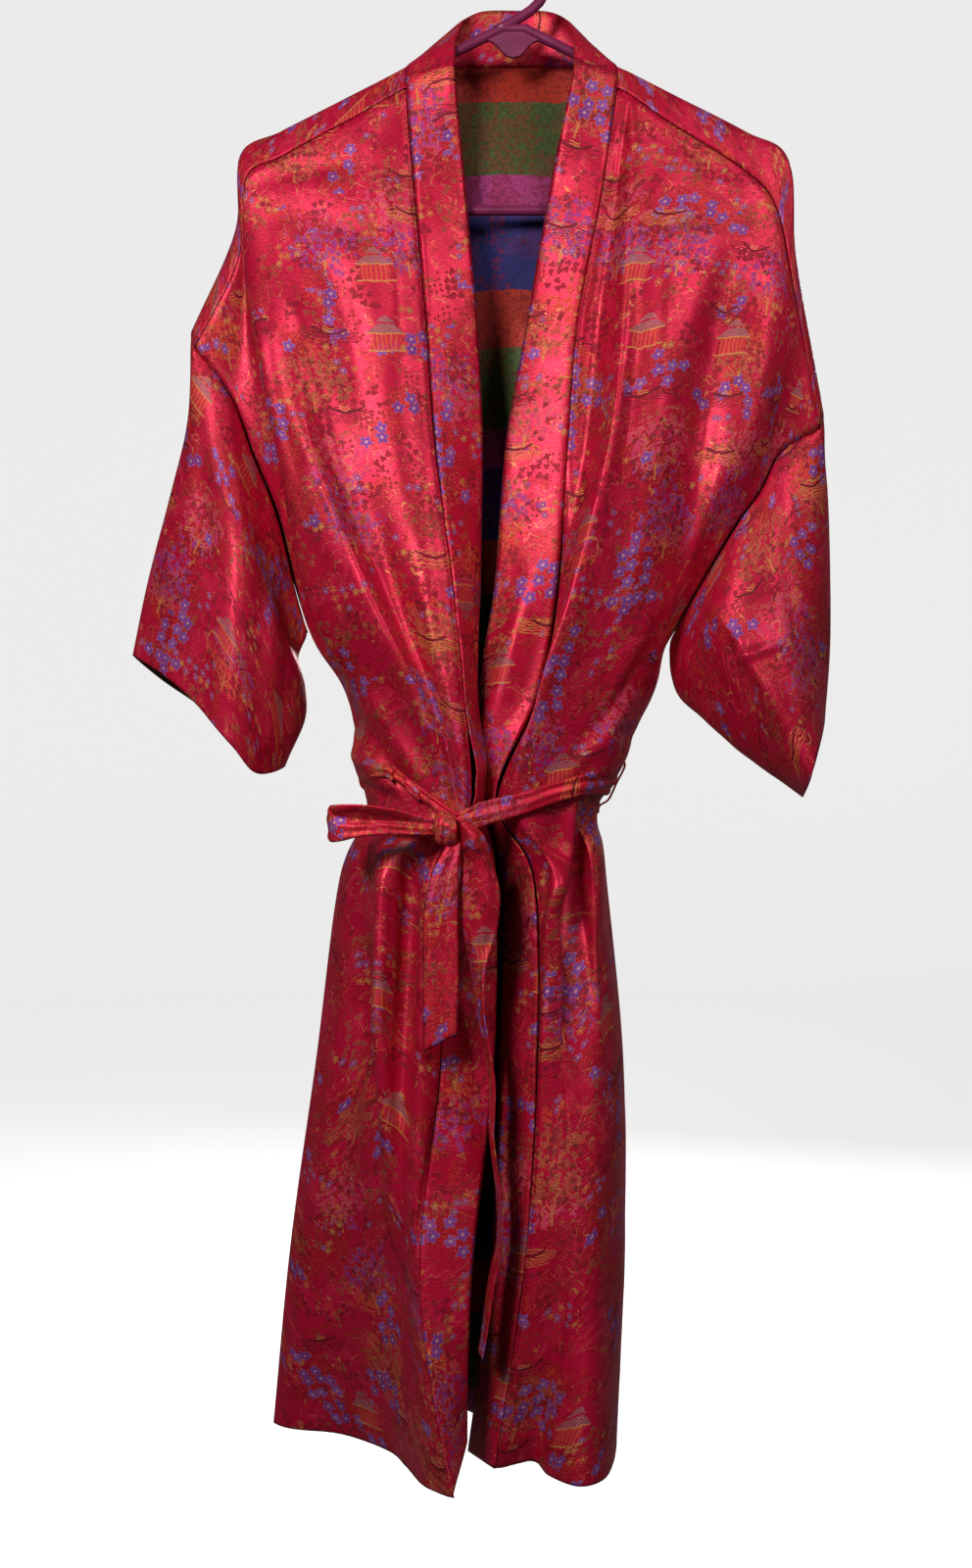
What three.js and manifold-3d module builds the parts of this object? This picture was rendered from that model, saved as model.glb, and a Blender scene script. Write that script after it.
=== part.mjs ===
// Kimono robe with its tied sash, hanging on a plastic hanger. Millimetres, +Z up, +X to the
// viewer's right, +Y away from the viewer. The origin is where the hook bears on its rail.
import * as THREE from 'three';
import { mergeVertices } from 'three/addons/utils/BufferGeometryUtils.js';
import Module from 'manifold-3d';

// ---------------------------------------------------------------- driving sizes
const CLOTH = 1.2; // wall of the brocade panels
const BAND_CLOTH = 2.2; // the neckband is doubled
const SASH_CLOTH = 1.8; // the sash is doubled and pressed flat
const SEAM_GAP = 0.44; // clearance kept between pieces that are sewn together
const SEAM_WALL = 0.4; // share of a wall's thickness left where it is pressed into a seam
const SASH_WIDTH = 28;
const HOOK_DROP = 88; // hanger apex below the bearing point of the hook
const EYE = { x: -21, drop: 587, distance: 1500 }; // outlines below are as seen from here
const HANGER = {
  tube: 4, // radius
  sides: 10,
  slope: Math.tan(THREE.MathUtils.degToRad(27)),
  apex: -2, // drop of the arms' centre lines where they cross
  bar: 144, // drop of the bottom bar
  corner: 26.4, // radius of the round ends
  hookRadius: 26,
};
const STEPS_PER_FOLD = 2; // columns of facets between two fold lines
const ARM_ROWS = 10; // rows of facets from the shoulder seam to the underarm
const SKIRT_ROWS = 14; // rows of facets from the underarm to the hem
const UNDERARM = 4; // index of the underarm in LEVELS
const BAND_STEPS = 3;
const SLEEVE_ROWS = 8;

// Levels down the garment: depth below the hanger's apex at the neck, and how much of each
// fold line's own shoulder slope is still left there.
const LEVELS = [
  { name: 'shoulder seam', drop: 0, slope: 1 },
  { name: 'yoke', drop: 130, slope: 0.75 },
  { name: 'chest', drop: 230, slope: 0.5 },
  { name: 'bust', drop: 330, slope: 0.25 },
  { name: 'underarm', drop: 440, slope: 0.14 },
  { name: 'ribs', drop: 520, slope: 0 },
  { name: 'waist', drop: 600, slope: 0 },
  { name: 'hip', drop: 660, slope: 0 },
  { name: 'thigh', drop: 800, slope: 0 },
  { name: 'knee', drop: 950, slope: 0 },
  { name: 'hem', drop: 1101, slope: 0 },
];
const NECK_TOP = 45; // drop of the shoulder seam beside the neck

// Fold lines of the front on the viewer's left, from the neckband seam out to the side. top is the
// drop of the shoulder seam; u is across and y is depth, one value a level.
const LEFT_FRONT = [
  { fold: 'band seam', top: 53,
    u: [-83, -76, -67, -60, -46, -38, -32, -51, -56, -73, -47],
    y: [-13, -22, -34, -46, -62, -72, -70, -62, -64, -84, -104] },
  { fold: 'lapel crest', top: 63,
    u: [-101, -101, -98, -90, -67, -50, -39, -64, -71, -77, -59],
    y: [-13, -27, -44, -56, -68, -76, -73, -68, -74, -78, -92] },
  { fold: 'lapel valley', top: 76,
    u: [-124, -130, -147, -136, -97, -64, -46, -75, -86, -83, -71],
    y: [-13, -28, -42, -50, -57, -64, -66, -56, -64, -60, -75] },
  { fold: 'long ridge', top: 92,
    u: [-154, -158, -170, -156, -112, -76, -56, -98, -105, -94, -83],
    y: [-13, -27, -46, -66, -75, -76, -68, -66, -70, -40, -38] },
  { fold: 'outer chest', top: 107,
    u: [-181, -185, -187, -170, -139, -100, -79, -111, -117, -113, -97],
    y: [-13, -25, -47, -62, -62, -58, -56, -52, -52, -22, -4] },
  { fold: 'shoulder end', top: 123,
    u: [-207, -207, -197, -181, -160, -120, -99, -119, -120, -136, -132],
    y: [-13, -20, -42, -52, -46, -36, -36, -30, -26, -6, 34] },
  { fold: 'turn of the side', top: 185,
    u: [-213, -205, -186, -170, -148, -124, -109, -128, -138, -158, -170],
    y: [-12, -6, -14, -18, -16, -10, -14, -16, -14, 6, 46] },
  { fold: 'side', top: 252,
    u: [-247, -219, -200, -181, -158, -129, -113, -135, -153, -173, -186],
    y: [-9, -4, 0, 4, 10, 12, 5, 8, 12, 28, 62] },
];

// Fold lines of the front on the viewer's right, from the neckband seam out to the side.
const RIGHT_FRONT = [
  { fold: 'band seam', top: 53,
    u: [80, 69, 50, 42, 34, 19, -13, 16, 18, 8, -14],
    y: [-13, -20, -28, -36, -42, -44, -46, -48, -56, -58, -44] },
  { fold: 'valley by the band', top: 57,
    u: [89, 79, 67, 58, 40, 22, -6, 25, 30, 22, 5],
    y: [-13, -16, -25, -36, -54, -58, -55, -58, -66, -64, -32] },
  { fold: 'long ridge', top: 63,
    u: [97, 89, 84, 73, 46, 20, 3, 34, 41, 37, 17],
    y: [-14, -30, -48, -66, -76, -75, -63, -62, -68, -66, -30] },
  { fold: 'inner chest', top: 83,
    u: [126, 107, 99, 88, 71, 50, 26, 41, 51, 50, 27],
    y: [-14, -32, -46, -60, -62, -60, -56, -42, -61, -70, -58] },
  { fold: 'chest crest', top: 117,
    u: [180, 150, 127, 112, 98, 84, 48, 51, 62, 62, 50],
    y: [-14, -34, -46, -56, -48, -44, -46, -32, -56, -68, -80] },
  { fold: 'soft valley', top: 146,
    u: [204, 172, 153, 139, 121, 98, 59, 62, 71, 74, 69],
    y: [-14, -27, -34, -36, -26, -26, -32, -38, -50, -56, -66] },
  { fold: 'turn of the side', top: 208,
    u: [218, 205, 184, 158, 121, 106, 65, 69, 80, 83, 77],
    y: [-12, -28, -38, -38, -12, -8, -14, -24, -32, -34, -30] },
  { fold: 'side', top: 314,
    u: [238, 208, 190, 167, 120, 107, 67, 73, 86, 87, 80],
    y: [-9, -12, -16, -16, 6, 10, 4, 4, 2, 2, 20] },
];

// Free edge of the neckband, one value a level, on the viewer's left and right.
const LEFT_EDGE = {
  u: [-45, -37, -28, -23, -25, -28, -24, -13, -15, -32, -35],
  y: [-20, -16, -16, -22, -24, -32, -30, -42, -46, -74, -62],
  lift: [8, 3, 0, 0, 0, 0, 0, 0, 0, 0, 28],
};
const RIGHT_EDGE = {
  u: [46, 29, 11, -6, -15, -29, -28, -9, -12, -18, -35],
  y: [-22, -14, -16, -22, -26, -18, -8, -12, -22, -26, -4],
  lift: [8, 3, 0, 0, 0, 0, 0, 0, 0, 0, 0],
};

// How cloth passes over a hanger arm: depth and rise from the arm's centre line.
const OVER_ARM = [
  { y: -8.8, rise: -3 },
  { y: -5.4, rise: 3.8 },
  { y: 0, rise: 6.6 },
  { y: 5.4, rise: 3.8 },
  { y: 9, rise: -3 },
];
// Shoulder lines past the arm's end, where no arm carries the cloth: u and drop of the crease, and
// how wide the fold still is. The first row of each side is over the hanger's corner.
const LEFT_DROOP = [
  { u: -211, crease: 101, width: 1 },
  { u: -215, crease: 160, width: 0.9 },
  { u: -249, crease: 238, width: 0.6 },
];
const RIGHT_DROOP = [
  { u: 213, crease: 105, width: 1 },
  { u: 219, crease: 182, width: 0.9 },
  { u: 240, crease: 300, width: 0.6 },
];

// Neckline at the back: where the neckband seam and its free edge stand up behind the hanger. The
// first row is over the shoulder crease and the last is the middle of the nape.
const NECK = [
  { seam: [-83, 33, 0], edge: [-44, 14, -4] },
  { seam: [-81, 30, 11], edge: [-40, -4, 12] },
  { seam: [-74, 27, 24], edge: [-35, -16, 25] },
  { seam: [-40, 21, 36], edge: [-22, -24, 35] },
  { seam: [0, 19, 41], edge: [4, -26, 39] },
];
const NECK_CREASE_ROW = 3; // row of the yoke that lies on the crease

// The back: depth and strength of its folds at each level, and the lie of each fold.
const BACK_LEVELS = [
  { depth: 9, throw: 0, spread: 0 },
  { depth: 18, throw: 3, spread: 0.35 },
  { depth: 27, throw: 6, spread: 0.75 },
  { depth: 38, throw: 12, spread: 1 },
  { depth: 46, throw: 15, spread: 1 },
  { depth: 46, throw: 12, spread: 1 },
  { depth: 40, throw: 7, spread: 1 },
  { depth: 50, throw: 12, spread: 1 },
  { depth: 64, throw: 19, spread: 1 },
  { depth: 76, throw: 23, spread: 1 },
  { depth: 90, throw: 27, spread: 1 },
];
const BACK_FOLDS = [
  0, 0.55, 0.95, 0.6, -0.3, -0.9, -0.8, -0.1, 0.6, 0.8, 0.3, -0.5, -1, -0.6, 0.2, 0.9, 0.8, 0.2, 0,
];
// Side seams of the back above the underarm, where the sleeve parts it from the front.
const BACK_ARMHOLE = {
  left: { u: [-248, -226, -207, -184], y: [6, 16, 22, 26] },
  right: { u: [239, 216, 198, 176], y: [6, 12, 18, 24] },
};

// Sleeves: rings from below the armhole to the cuff. Eight fold lines go round each ring from the
// top fold, down the front to the underarm and up the back.
const LEFT_SLEEVE = [
  { ring: 'upper',
    u: [-252, -236, -214, -188, -166, -194, -220, -241],
    drop: [308, 325, 365, 420, 490, 418, 357, 311],
    y: [0, -14, -22, -14, 8, 34, 31, 20] },
  { ring: 'middle',
    u: [-264, -241, -214, -185, -161, -187, -221, -253],
    drop: [360, 382, 420, 458, 512, 455, 413, 375],
    y: [4, -20, -36, -24, 8, 36, 36, 26] },
  { ring: 'lower',
    u: [-282, -249, -216, -186, -161, -183, -226, -262],
    drop: [428, 450, 488, 514, 538, 512, 477, 447],
    y: [8, -24, -42, -28, 10, 32, 37, 28] },
  { ring: 'cuff',
    u: [-294, -257, -218, -198, -176, -196, -234, -272],
    drop: [487, 515, 558, 579, 573, 568, 532, 505],
    y: [6, -22, -40, -24, 8, 26, 33, 26] },
];
const RIGHT_SLEEVE = [
  { ring: 'upper',
    u: [243, 220, 195, 157, 124, 142, 184, 222],
    drop: [360, 382, 413, 458, 509, 488, 428, 382],
    y: [0, -24, -34, -32, 8, 32, 38, 27] },
  { ring: 'middle',
    u: [245, 226, 205, 174, 148, 165, 199, 229],
    drop: [420, 443, 473, 492, 537, 520, 481, 443],
    y: [4, -29, -44, -44, 4, 36, 43, 31] },
  { ring: 'lower',
    u: [245, 232, 218, 196, 186, 198, 215, 235],
    drop: [481, 503, 526, 530, 569, 558, 528, 503],
    y: [8, -28, -49, -50, -2, 36, 46, 35] },
  { ring: 'cuff',
    u: [241, 240, 236, 230, 224, 227, 233, 239],
    drop: [537, 545, 560, 583, 597, 590, 572, 549],
    y: [10, -20, -47, -52, -10, 32, 46, 40] },
];

const COLOURS = {
  brocade: 0xc8102e,
  band: 0xd01634,
  sash: 0xc41230,
  hanger: 0x7d2450,
};

// ---------------------------------------------------------------- geometry helpers

// A point seen at u on the hanger's plane, moved along its line of sight to depth y.
function place(u, drop, y) {
  const reach = (EYE.distance + y) / EYE.distance;
  return new THREE.Vector3(EYE.x + (u - EYE.x) * reach, y, -HOOK_DROP - drop);
}

function catmull(before, from, to, after, t) {
  const square = t * t;
  const cube = square * t;
  return before.clone().multiplyScalar(-cube + 2 * square - t)
    .addScaledVector(from, 3 * cube - 5 * square + 2)
    .addScaledVector(to, -3 * cube + 4 * square + t)
    .addScaledVector(after, cube - square)
    .multiplyScalar(0.5);
}

// A point on the smooth line through a list of points, at a fractional index.
function along(points, at, closed = false) {
  const last = points.length - 1;
  const start = closed ? Math.floor(at) : Math.min(Math.floor(at), last - 1);
  const pick = (k) => {
    if (closed) return points[((k % points.length) + points.length) % points.length];
    if (k < 0) return points[0].clone().multiplyScalar(2).sub(points[1]);
    if (k > last) return points[last].clone().multiplyScalar(2).sub(points[last - 1]);
    return points[k];
  };
  return catmull(pick(start - 1), pick(start), pick(start + 1), pick(start + 2), at - start);
}

// Fractional levels of the rows of facets, shoulder to hem.
const ROW_LEVELS = [];
for (let row = 0; row <= ARM_ROWS + SKIRT_ROWS; row += 1) {
  const below = row - ARM_ROWS;
  const hemLevel = LEVELS.length - 1;
  ROW_LEVELS.push(below <= 0
    ? (row / ARM_ROWS) * UNDERARM
    : UNDERARM + (below / SKIRT_ROWS) * (hemLevel - UNDERARM));
}

function levelDrop(level, top) {
  if (level === 0) return top;
  return LEVELS[level].drop + (top - NECK_TOP) * LEVELS[level].slope;
}

// Rows of points from fold lines given as columns of points, one a level.
function rowsFromFolds(folds) {
  const columns = (folds.length - 1) * STEPS_PER_FOLD;
  return ROW_LEVELS.map((level) => {
    const crossing = folds.map((points) => along(points, level));
    const row = [];
    for (let column = 0; column <= columns; column += 1) {
      row.push(along(crossing, column / STEPS_PER_FOLD));
    }
    return row;
  });
}

// A grid of points with its surface normals. Cells that `present` refuses are left open.
function makeGrid(points, { closed = false, present = () => true } = {}) {
  const grid = { points, closed, present, rows: points.length - 1 };
  grid.columns = closed ? points[0].length : points[0].length - 1;
  grid.wrap = (column) => (closed ? column % points[0].length : column);
  grid.normals = points.map((row) => row.map(() => new THREE.Vector3()));
  for (let r = 0; r < grid.rows; r += 1) {
    for (let c = 0; c < grid.columns; c += 1) {
      if (!present(r, c)) continue;
      const next = grid.wrap(c + 1);
      const down = points[r + 1][next].clone().sub(points[r][c]);
      const up = points[r][next].clone().sub(points[r + 1][c]);
      const face = up.cross(down);
      [[r, c], [r, next], [r + 1, c], [r + 1, next]].forEach(([i, j]) => grid.normals[i][j].add(face));
    }
  }
  grid.normals.forEach((row) => row.forEach((normal) => normal.normalize()));
  return grid;
}

// Two pieces sewn edge to edge. Each edge is a list of [row, column, inward row, inward column];
// the cut edges are turned into the plane between the pieces and drawn apart by the seam gap.
function sew(first, firstEdge, second, secondEdge) {
  const line = firstEdge.map(([r, c]) => first.points[r][c].clone());
  const moves = [];
  firstEdge.forEach((edge, k) => {
    const run = line[Math.min(k + 1, line.length - 1)].clone().sub(line[Math.max(k - 1, 0)]).normalize();
    const inward = [[first, edge], [second, secondEdge[k]]].map(([grid, [r, c, dr, dc]]) => {
      const next = grid.points[r + dr][grid.wrap(c + dc + (grid.closed ? grid.columns : 0))];
      const step = next.clone().sub(grid.points[r][c]);
      return step.addScaledVector(run, -step.dot(run)).normalize();
    });
    const lean = run.cross(inward[0].clone().sub(inward[1])).normalize();
    moves.push([first, edge, inward[0], lean], [second, secondEdge[k], inward[1], lean]);
  });
  moves.forEach(([grid, [r, c], inward, lean]) => {
    grid.points[r][c] = grid.points[r][c].clone().addScaledVector(inward, SEAM_GAP / 2);
    const side = Math.sign(lean.dot(grid.normals[r][c])) || 1;
    grid.normals[r][c] = lean.clone().multiplyScalar(side * SEAM_WALL);
  });
}

// A closed wall of cloth with the grid as its middle surface.
function wall(grid, thickness) {
  const positions = [];
  const indices = [];
  const numbers = new Map();
  const vertex = (side, r, column) => {
    const c = grid.wrap(column);
    const key = `${side},${r},${c}`;
    if (!numbers.has(key)) {
      numbers.set(key, positions.length / 3);
      const point = grid.points[r][c].clone().addScaledVector(grid.normals[r][c], side * thickness / 2);
      positions.push(point.x, point.y, point.z);
    }
    return numbers.get(key);
  };
  const quad = (a, b, c, d) => indices.push(a, b, c, a, c, d);
  const open = (r, c) => {
    if (r < 0 || r >= grid.rows) return true;
    if (!grid.closed && (c < 0 || c >= grid.columns)) return true;
    return !grid.present(r, grid.closed ? (c + grid.columns) % grid.columns : c);
  };
  for (let r = 0; r < grid.rows; r += 1) {
    for (let c = 0; c < grid.columns; c += 1) {
      if (!grid.present(r, c)) continue;
      const corners = [[r, c], [r, c + 1], [r + 1, c + 1], [r + 1, c]];
      const outer = corners.map(([i, j]) => vertex(1, i, j));
      const inner = corners.map(([i, j]) => vertex(-1, i, j));
      quad(outer[0], outer[3], outer[2], outer[1]);
      quad(inner[0], inner[1], inner[2], inner[3]);
      const beyond = [[r - 1, c], [r, c + 1], [r + 1, c], [r, c - 1]];
      beyond.forEach(([i, j], k) => {
        const next = (k + 1) % 4;
        if (open(i, j)) quad(outer[k], outer[next], inner[next], inner[k]);
      });
    }
  }
  return solidFrom(positions, indices);
}

function solidFrom(positions, indices) {
  const geometry = new THREE.BufferGeometry();
  geometry.setAttribute('position', new THREE.Float32BufferAttribute(positions, 3));
  geometry.setIndex(indices);
  if (volume(geometry) < 0) {
    for (let k = 0; k < indices.length; k += 3) [indices[k], indices[k + 1]] = [indices[k + 1], indices[k]];
    geometry.setIndex(indices);
  }
  return geometry;
}

function volume(geometry) {
  const position = geometry.getAttribute('position');
  const index = geometry.getIndex();
  const corner = (k) => new THREE.Vector3().fromBufferAttribute(position, index.getX(k));
  let total = 0;
  for (let k = 0; k < index.count; k += 3) total += corner(k).dot(corner(k + 1).cross(corner(k + 2)));
  return total / 6;
}

// A round bar along a flat path in the XZ plane; the path is a list of points, closed or open.
function bar(path, radius, sides, closed) {
  const positions = [];
  const indices = [];
  const count = path.length;
  path.forEach((point, k) => {
    const before = path[closed ? (k + count - 1) % count : Math.max(k - 1, 0)];
    const after = path[closed ? (k + 1) % count : Math.min(k + 1, count - 1)];
    const run = after.clone().sub(before).normalize();
    const across = new THREE.Vector3(0, 1, 0).cross(run).normalize();
    for (let side = 0; side < sides; side += 1) {
      const angle = (side / sides) * 2 * Math.PI;
      const rim = point.clone().addScaledVector(across, radius * Math.cos(angle));
      rim.y += radius * Math.sin(angle);
      positions.push(rim.x, rim.y, rim.z);
    }
  });
  const at = (k, side) => (k % count) * sides + (side % sides);
  for (let k = 0; k < (closed ? count : count - 1); k += 1) {
    for (let side = 0; side < sides; side += 1) {
      indices.push(at(k, side), at(k, side + 1), at(k + 1, side + 1));
      indices.push(at(k, side), at(k + 1, side + 1), at(k + 1, side));
    }
  }
  if (!closed) {
    for (let side = 1; side < sides - 1; side += 1) {
      indices.push(at(0, 0), at(0, side + 1), at(0, side));
      indices.push(at(count - 1, 0), at(count - 1, side), at(count - 1, side + 1));
    }
  }
  return solidFrom(positions, indices);
}

function arc(centre, radius, fromDegrees, toDegrees, steps) {
  const points = [];
  for (let k = 0; k <= steps; k += 1) {
    const angle = THREE.MathUtils.degToRad(fromDegrees + (toDegrees - fromDegrees) * (k / steps));
    points.push(new THREE.Vector3(centre.x + radius * Math.cos(angle), 0, centre.z + radius * Math.sin(angle)));
  }
  return points;
}

const group = new THREE.Group();
function add(name, geometry, colour, roughness) {
  const material = new THREE.MeshStandardMaterial({ color: colour, roughness, metalness: 0 });
  const mesh = new THREE.Mesh(geometry, material);
  mesh.name = name;
  group.add(mesh);
}

// ---------------------------------------------------------------- fronts

function frontFolds(table) {
  return table.map(({ top, u, y }) => LEVELS.map((_, level) => place(u[level], levelDrop(level, top), y[level])));
}
const fronts = {
  left: makeGrid(rowsFromFolds(frontFolds(LEFT_FRONT))),
  right: makeGrid(rowsFromFolds(frontFolds(RIGHT_FRONT))),
};
const FRONT_COLUMNS = fronts.left.columns;
const ROWS = fronts.left.rows;

// ---------------------------------------------------------------- back

// Yoke rows of one shoulder line: from the shoulder seam over the arm to the back.
function yokeLine(fold, droop) {
  const u = droop ? droop.u : fold.u[0];
  const width = droop ? droop.width : 1;
  const arm = HANGER.apex + Math.abs(u) * HANGER.slope;
  const centre = droop ? droop.crease + OVER_ARM[2].rise * width : arm;
  const points = OVER_ARM.map(({ y, rise }) => place(u, centre - rise * width, y * width));
  return [place(fold.u[0], fold.top, fold.y[0]), ...points];
}

function backYoke(table, droops) {
  const past = table.length - droops.length;
  return table.map((fold, k) => yokeLine(fold, droops[k - past]));
}

const neckLeft = NECK.map(({ seam }) => place(...seam));
const neckRight = NECK.map(({ seam: [u, drop, y] }) => place(-u - 3, drop, y));
function withNeckSeam(yoke, neck) {
  const first = yoke[0];
  yoke[0] = [...first.slice(0, NECK_CREASE_ROW), neck[0], neck[1], neck[2]];
  return yoke;
}
const yokes = {
  left: withNeckSeam(backYoke(LEFT_FRONT, LEFT_DROOP), neckLeft),
  right: withNeckSeam(backYoke(RIGHT_FRONT, RIGHT_DROOP), neckRight),
};

// All fold lines of the back from the viewer's left side to the right, as nape-row points.
const nape = [
  ...yokes.left.map((line) => line[OVER_ARM.length]).reverse(),
  neckLeft[3],
  neckLeft[4],
  neckRight[3],
  ...yokes.right.map((line) => line[OVER_ARM.length]),
];
const tops = [...LEFT_FRONT.map(({ top }) => top).reverse(), NECK_TOP, NECK_TOP, NECK_TOP,
  ...RIGHT_FRONT.map(({ top }) => top)];
const NECK_LINES = [LEFT_FRONT.length - 1, nape.length - RIGHT_FRONT.length];

function sideAt(side, table, level) {
  const edge = table[table.length - 1];
  if (level < UNDERARM) return [BACK_ARMHOLE[side].u[level], BACK_ARMHOLE[side].y[level]];
  return [edge.u[level], edge.y[level]];
}

function backFolds() {
  const last = nape.length - 1;
  return nape.map((start, k) => LEVELS.map((_, level) => {
    if (level === 0) return start;
    const share = k / last;
    const { depth, throw: strength, spread } = BACK_LEVELS[level];
    const [leftU, leftY] = sideAt('left', LEFT_FRONT, level);
    const [rightU, rightY] = sideAt('right', RIGHT_FRONT, level);
    const even = leftU + (rightU - leftU) * share;
    const hanging = start.x * (Math.abs(leftU) + Math.abs(rightU)) / (Math.abs(nape[0].x) + nape[last].x);
    const u = hanging + (even - hanging) * spread;
    const fullness = Math.min(1, 5 * Math.min(share, 1 - share));
    const sideY = share < 0.5 ? leftY : rightY;
    const y = sideY + (depth - sideY) * Math.sin(fullness * Math.PI / 2) + strength * BACK_FOLDS[k];
    if (k === 0) return place(leftU, levelDrop(level, tops[k]), leftY);
    if (k === last) return place(rightU, levelDrop(level, tops[k]), rightY);
    return place(u, levelDrop(level, tops[k]), y);
  }));
}

const YOKE_ROWS = OVER_ARM.length;
function backGrid() {
  const body = rowsFromFolds(backFolds());
  const yokeRows = [];
  const lines = { left: [...yokes.left].reverse(), right: yokes.right };
  const first = NECK_LINES[0] * STEPS_PER_FOLD;
  const width = body[0].length;
  for (let row = 0; row < YOKE_ROWS; row += 1) {
    const left = lines.left.map((line) => line[row]);
    const right = lines.right.map((line) => line[row]);
    const points = [];
    for (let c = 0; c < width; c += 1) {
      if (c <= first) points.push(along(left, c / STEPS_PER_FOLD));
      else if (c >= width - 1 - FRONT_COLUMNS) {
        points.push(along(right, (c - (width - 1 - FRONT_COLUMNS)) / STEPS_PER_FOLD));
      } else points.push(left[left.length - 1].clone());
    }
    yokeRows.push(points);
  }
  // seam points shared with the fronts
  for (let c = 0; c <= FRONT_COLUMNS; c += 1) {
    yokeRows[0][c] = fronts.left.points[0][FRONT_COLUMNS - c].clone();
    yokeRows[0][width - 1 - FRONT_COLUMNS + c] = fronts.right.points[0][c].clone();
  }
  for (let row = ARM_ROWS; row <= ROWS; row += 1) {
    body[row][0] = fronts.left.points[row][FRONT_COLUMNS].clone();
    body[row][width - 1] = fronts.right.points[row][FRONT_COLUMNS].clone();
  }
  const neckFrom = FRONT_COLUMNS;
  const neckTo = width - 1 - FRONT_COLUMNS;
  const present = (r, c) => r >= YOKE_ROWS || c < neckFrom || c >= neckTo;
  return makeGrid([...yokeRows, ...body], { present });
}
const back = backGrid();
const BACK_LAST = back.columns;

// ---------------------------------------------------------------- neckband

function bandEdge(edge, front) {
  return LEVELS.map(({ drop }, level) => {
    const seamDrop = levelDrop(level, front[0].top);
    return place(edge.u[level], (level === 0 ? seamDrop : drop) - edge.lift[level], edge.y[level]);
  });
}

// Seam and free edge points of the whole band, from one hem round the neck to the other.
function bandStations() {
  const leftFree = bandEdge(LEFT_EDGE, LEFT_FRONT);
  const rightFree = bandEdge(RIGHT_EDGE, RIGHT_FRONT);
  const stations = [];
  for (let row = ROWS; row >= 0; row -= 1) {
    stations.push({ seam: fronts.left.points[row][0].clone(), free: along(leftFree, ROW_LEVELS[row]) });
  }
  const neckFree = [
    leftFree[0],
    ...NECK.map(({ edge }) => place(...edge)),
    ...NECK.slice(0, -1).reverse().map(({ edge: [u, drop, y] }) => place(-u + 3, drop, y)),
    rightFree[0],
  ];
  const neckSeam = [];
  for (let row = 1; row < YOKE_ROWS; row += 1) neckSeam.push([row, FRONT_COLUMNS]);
  for (let c = FRONT_COLUMNS; c <= BACK_LAST - FRONT_COLUMNS; c += 1) neckSeam.push([YOKE_ROWS, c]);
  for (let row = YOKE_ROWS - 1; row >= 1; row -= 1) neckSeam.push([row, BACK_LAST - FRONT_COLUMNS]);
  const seams = neckSeam.map(([r, c]) => back.points[r][c]);
  const half = (neckFree.length - 1) / 2;
  const middle = (seams.length + 1) / 2;
  const marks = [0, NECK_CREASE_ROW, NECK_CREASE_ROW + 1, YOKE_ROWS, YOKE_ROWS + STEPS_PER_FOLD, middle];
  seams.forEach((seam, k) => {
    const index = k + 1;
    const mirrored = index > middle ? 2 * middle - index : index;
    let span = 0;
    while (span < marks.length - 2 && mirrored > marks[span + 1]) span += 1;
    const part = span + (mirrored - marks[span]) / (marks[span + 1] - marks[span]);
    const at = index > middle ? 2 * half - part : part;
    stations.push({ seam: seam.clone(), free: along(neckFree, at), back: neckSeam[k] });
  });
  for (let row = 0; row <= ROWS; row += 1) {
    stations.push({ seam: fronts.right.points[row][0].clone(), free: along(rightFree, ROW_LEVELS[row]) });
  }
  return { stations, neckSeam };
}
const { stations: bandLine, neckSeam } = bandStations();
const band = makeGrid(bandLine.map(({ seam, free }) => {
  const row = [];
  for (let step = 0; step <= BAND_STEPS; step += 1) row.push(seam.clone().lerp(free, step / BAND_STEPS));
  return row;
}));

// ---------------------------------------------------------------- sleeves

// Armhole ring as [grid, row, column, inward column] from the top fold down the front and up the back.
function armhole(side) {
  const front = fronts[side];
  const column = side === 'left' ? 0 : BACK_LAST;
  const inward = side === 'left' ? 1 : -1;
  const ring = [];
  for (let row = 0; row <= ARM_ROWS; row += 1) ring.push([front, row, FRONT_COLUMNS, -1]);
  for (let row = YOKE_ROWS + ARM_ROWS - 1; row >= 1; row -= 1) ring.push([back, row, column, inward]);
  return ring;
}

function sleeveGrid(ring, table) {
  const rings = table.map(({ u, drop, y }) => u.map((_, k) => place(u[k], drop[k], y[k])));
  const folds = table[0].u.length;
  const count = ring.length;
  const points = [];
  for (let row = 0; row <= SLEEVE_ROWS; row += 1) points.push([]);
  ring.forEach(([grid, r, c], k) => {
    const round = k <= ARM_ROWS
      ? (k / ARM_ROWS) * (folds / 2)
      : folds / 2 + ((k - ARM_ROWS) / (count - ARM_ROWS)) * (folds / 2);
    const line = [grid.points[r][c], ...rings.map((section) => along(section, round, true))];
    for (let row = 0; row <= SLEEVE_ROWS; row += 1) {
      points[row].push(along(line, (row / SLEEVE_ROWS) * (line.length - 1)).clone());
    }
  });
  return makeGrid(points, { closed: true });
}
const rings = { left: armhole('left'), right: armhole('right') };
const sleeves = {
  left: sleeveGrid(rings.left, LEFT_SLEEVE),
  right: sleeveGrid(rings.right, RIGHT_SLEEVE),
};

// ---------------------------------------------------------------- seams

const range = (from, to) => Array.from({ length: to - from + 1 }, (_, k) => from + k);
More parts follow.
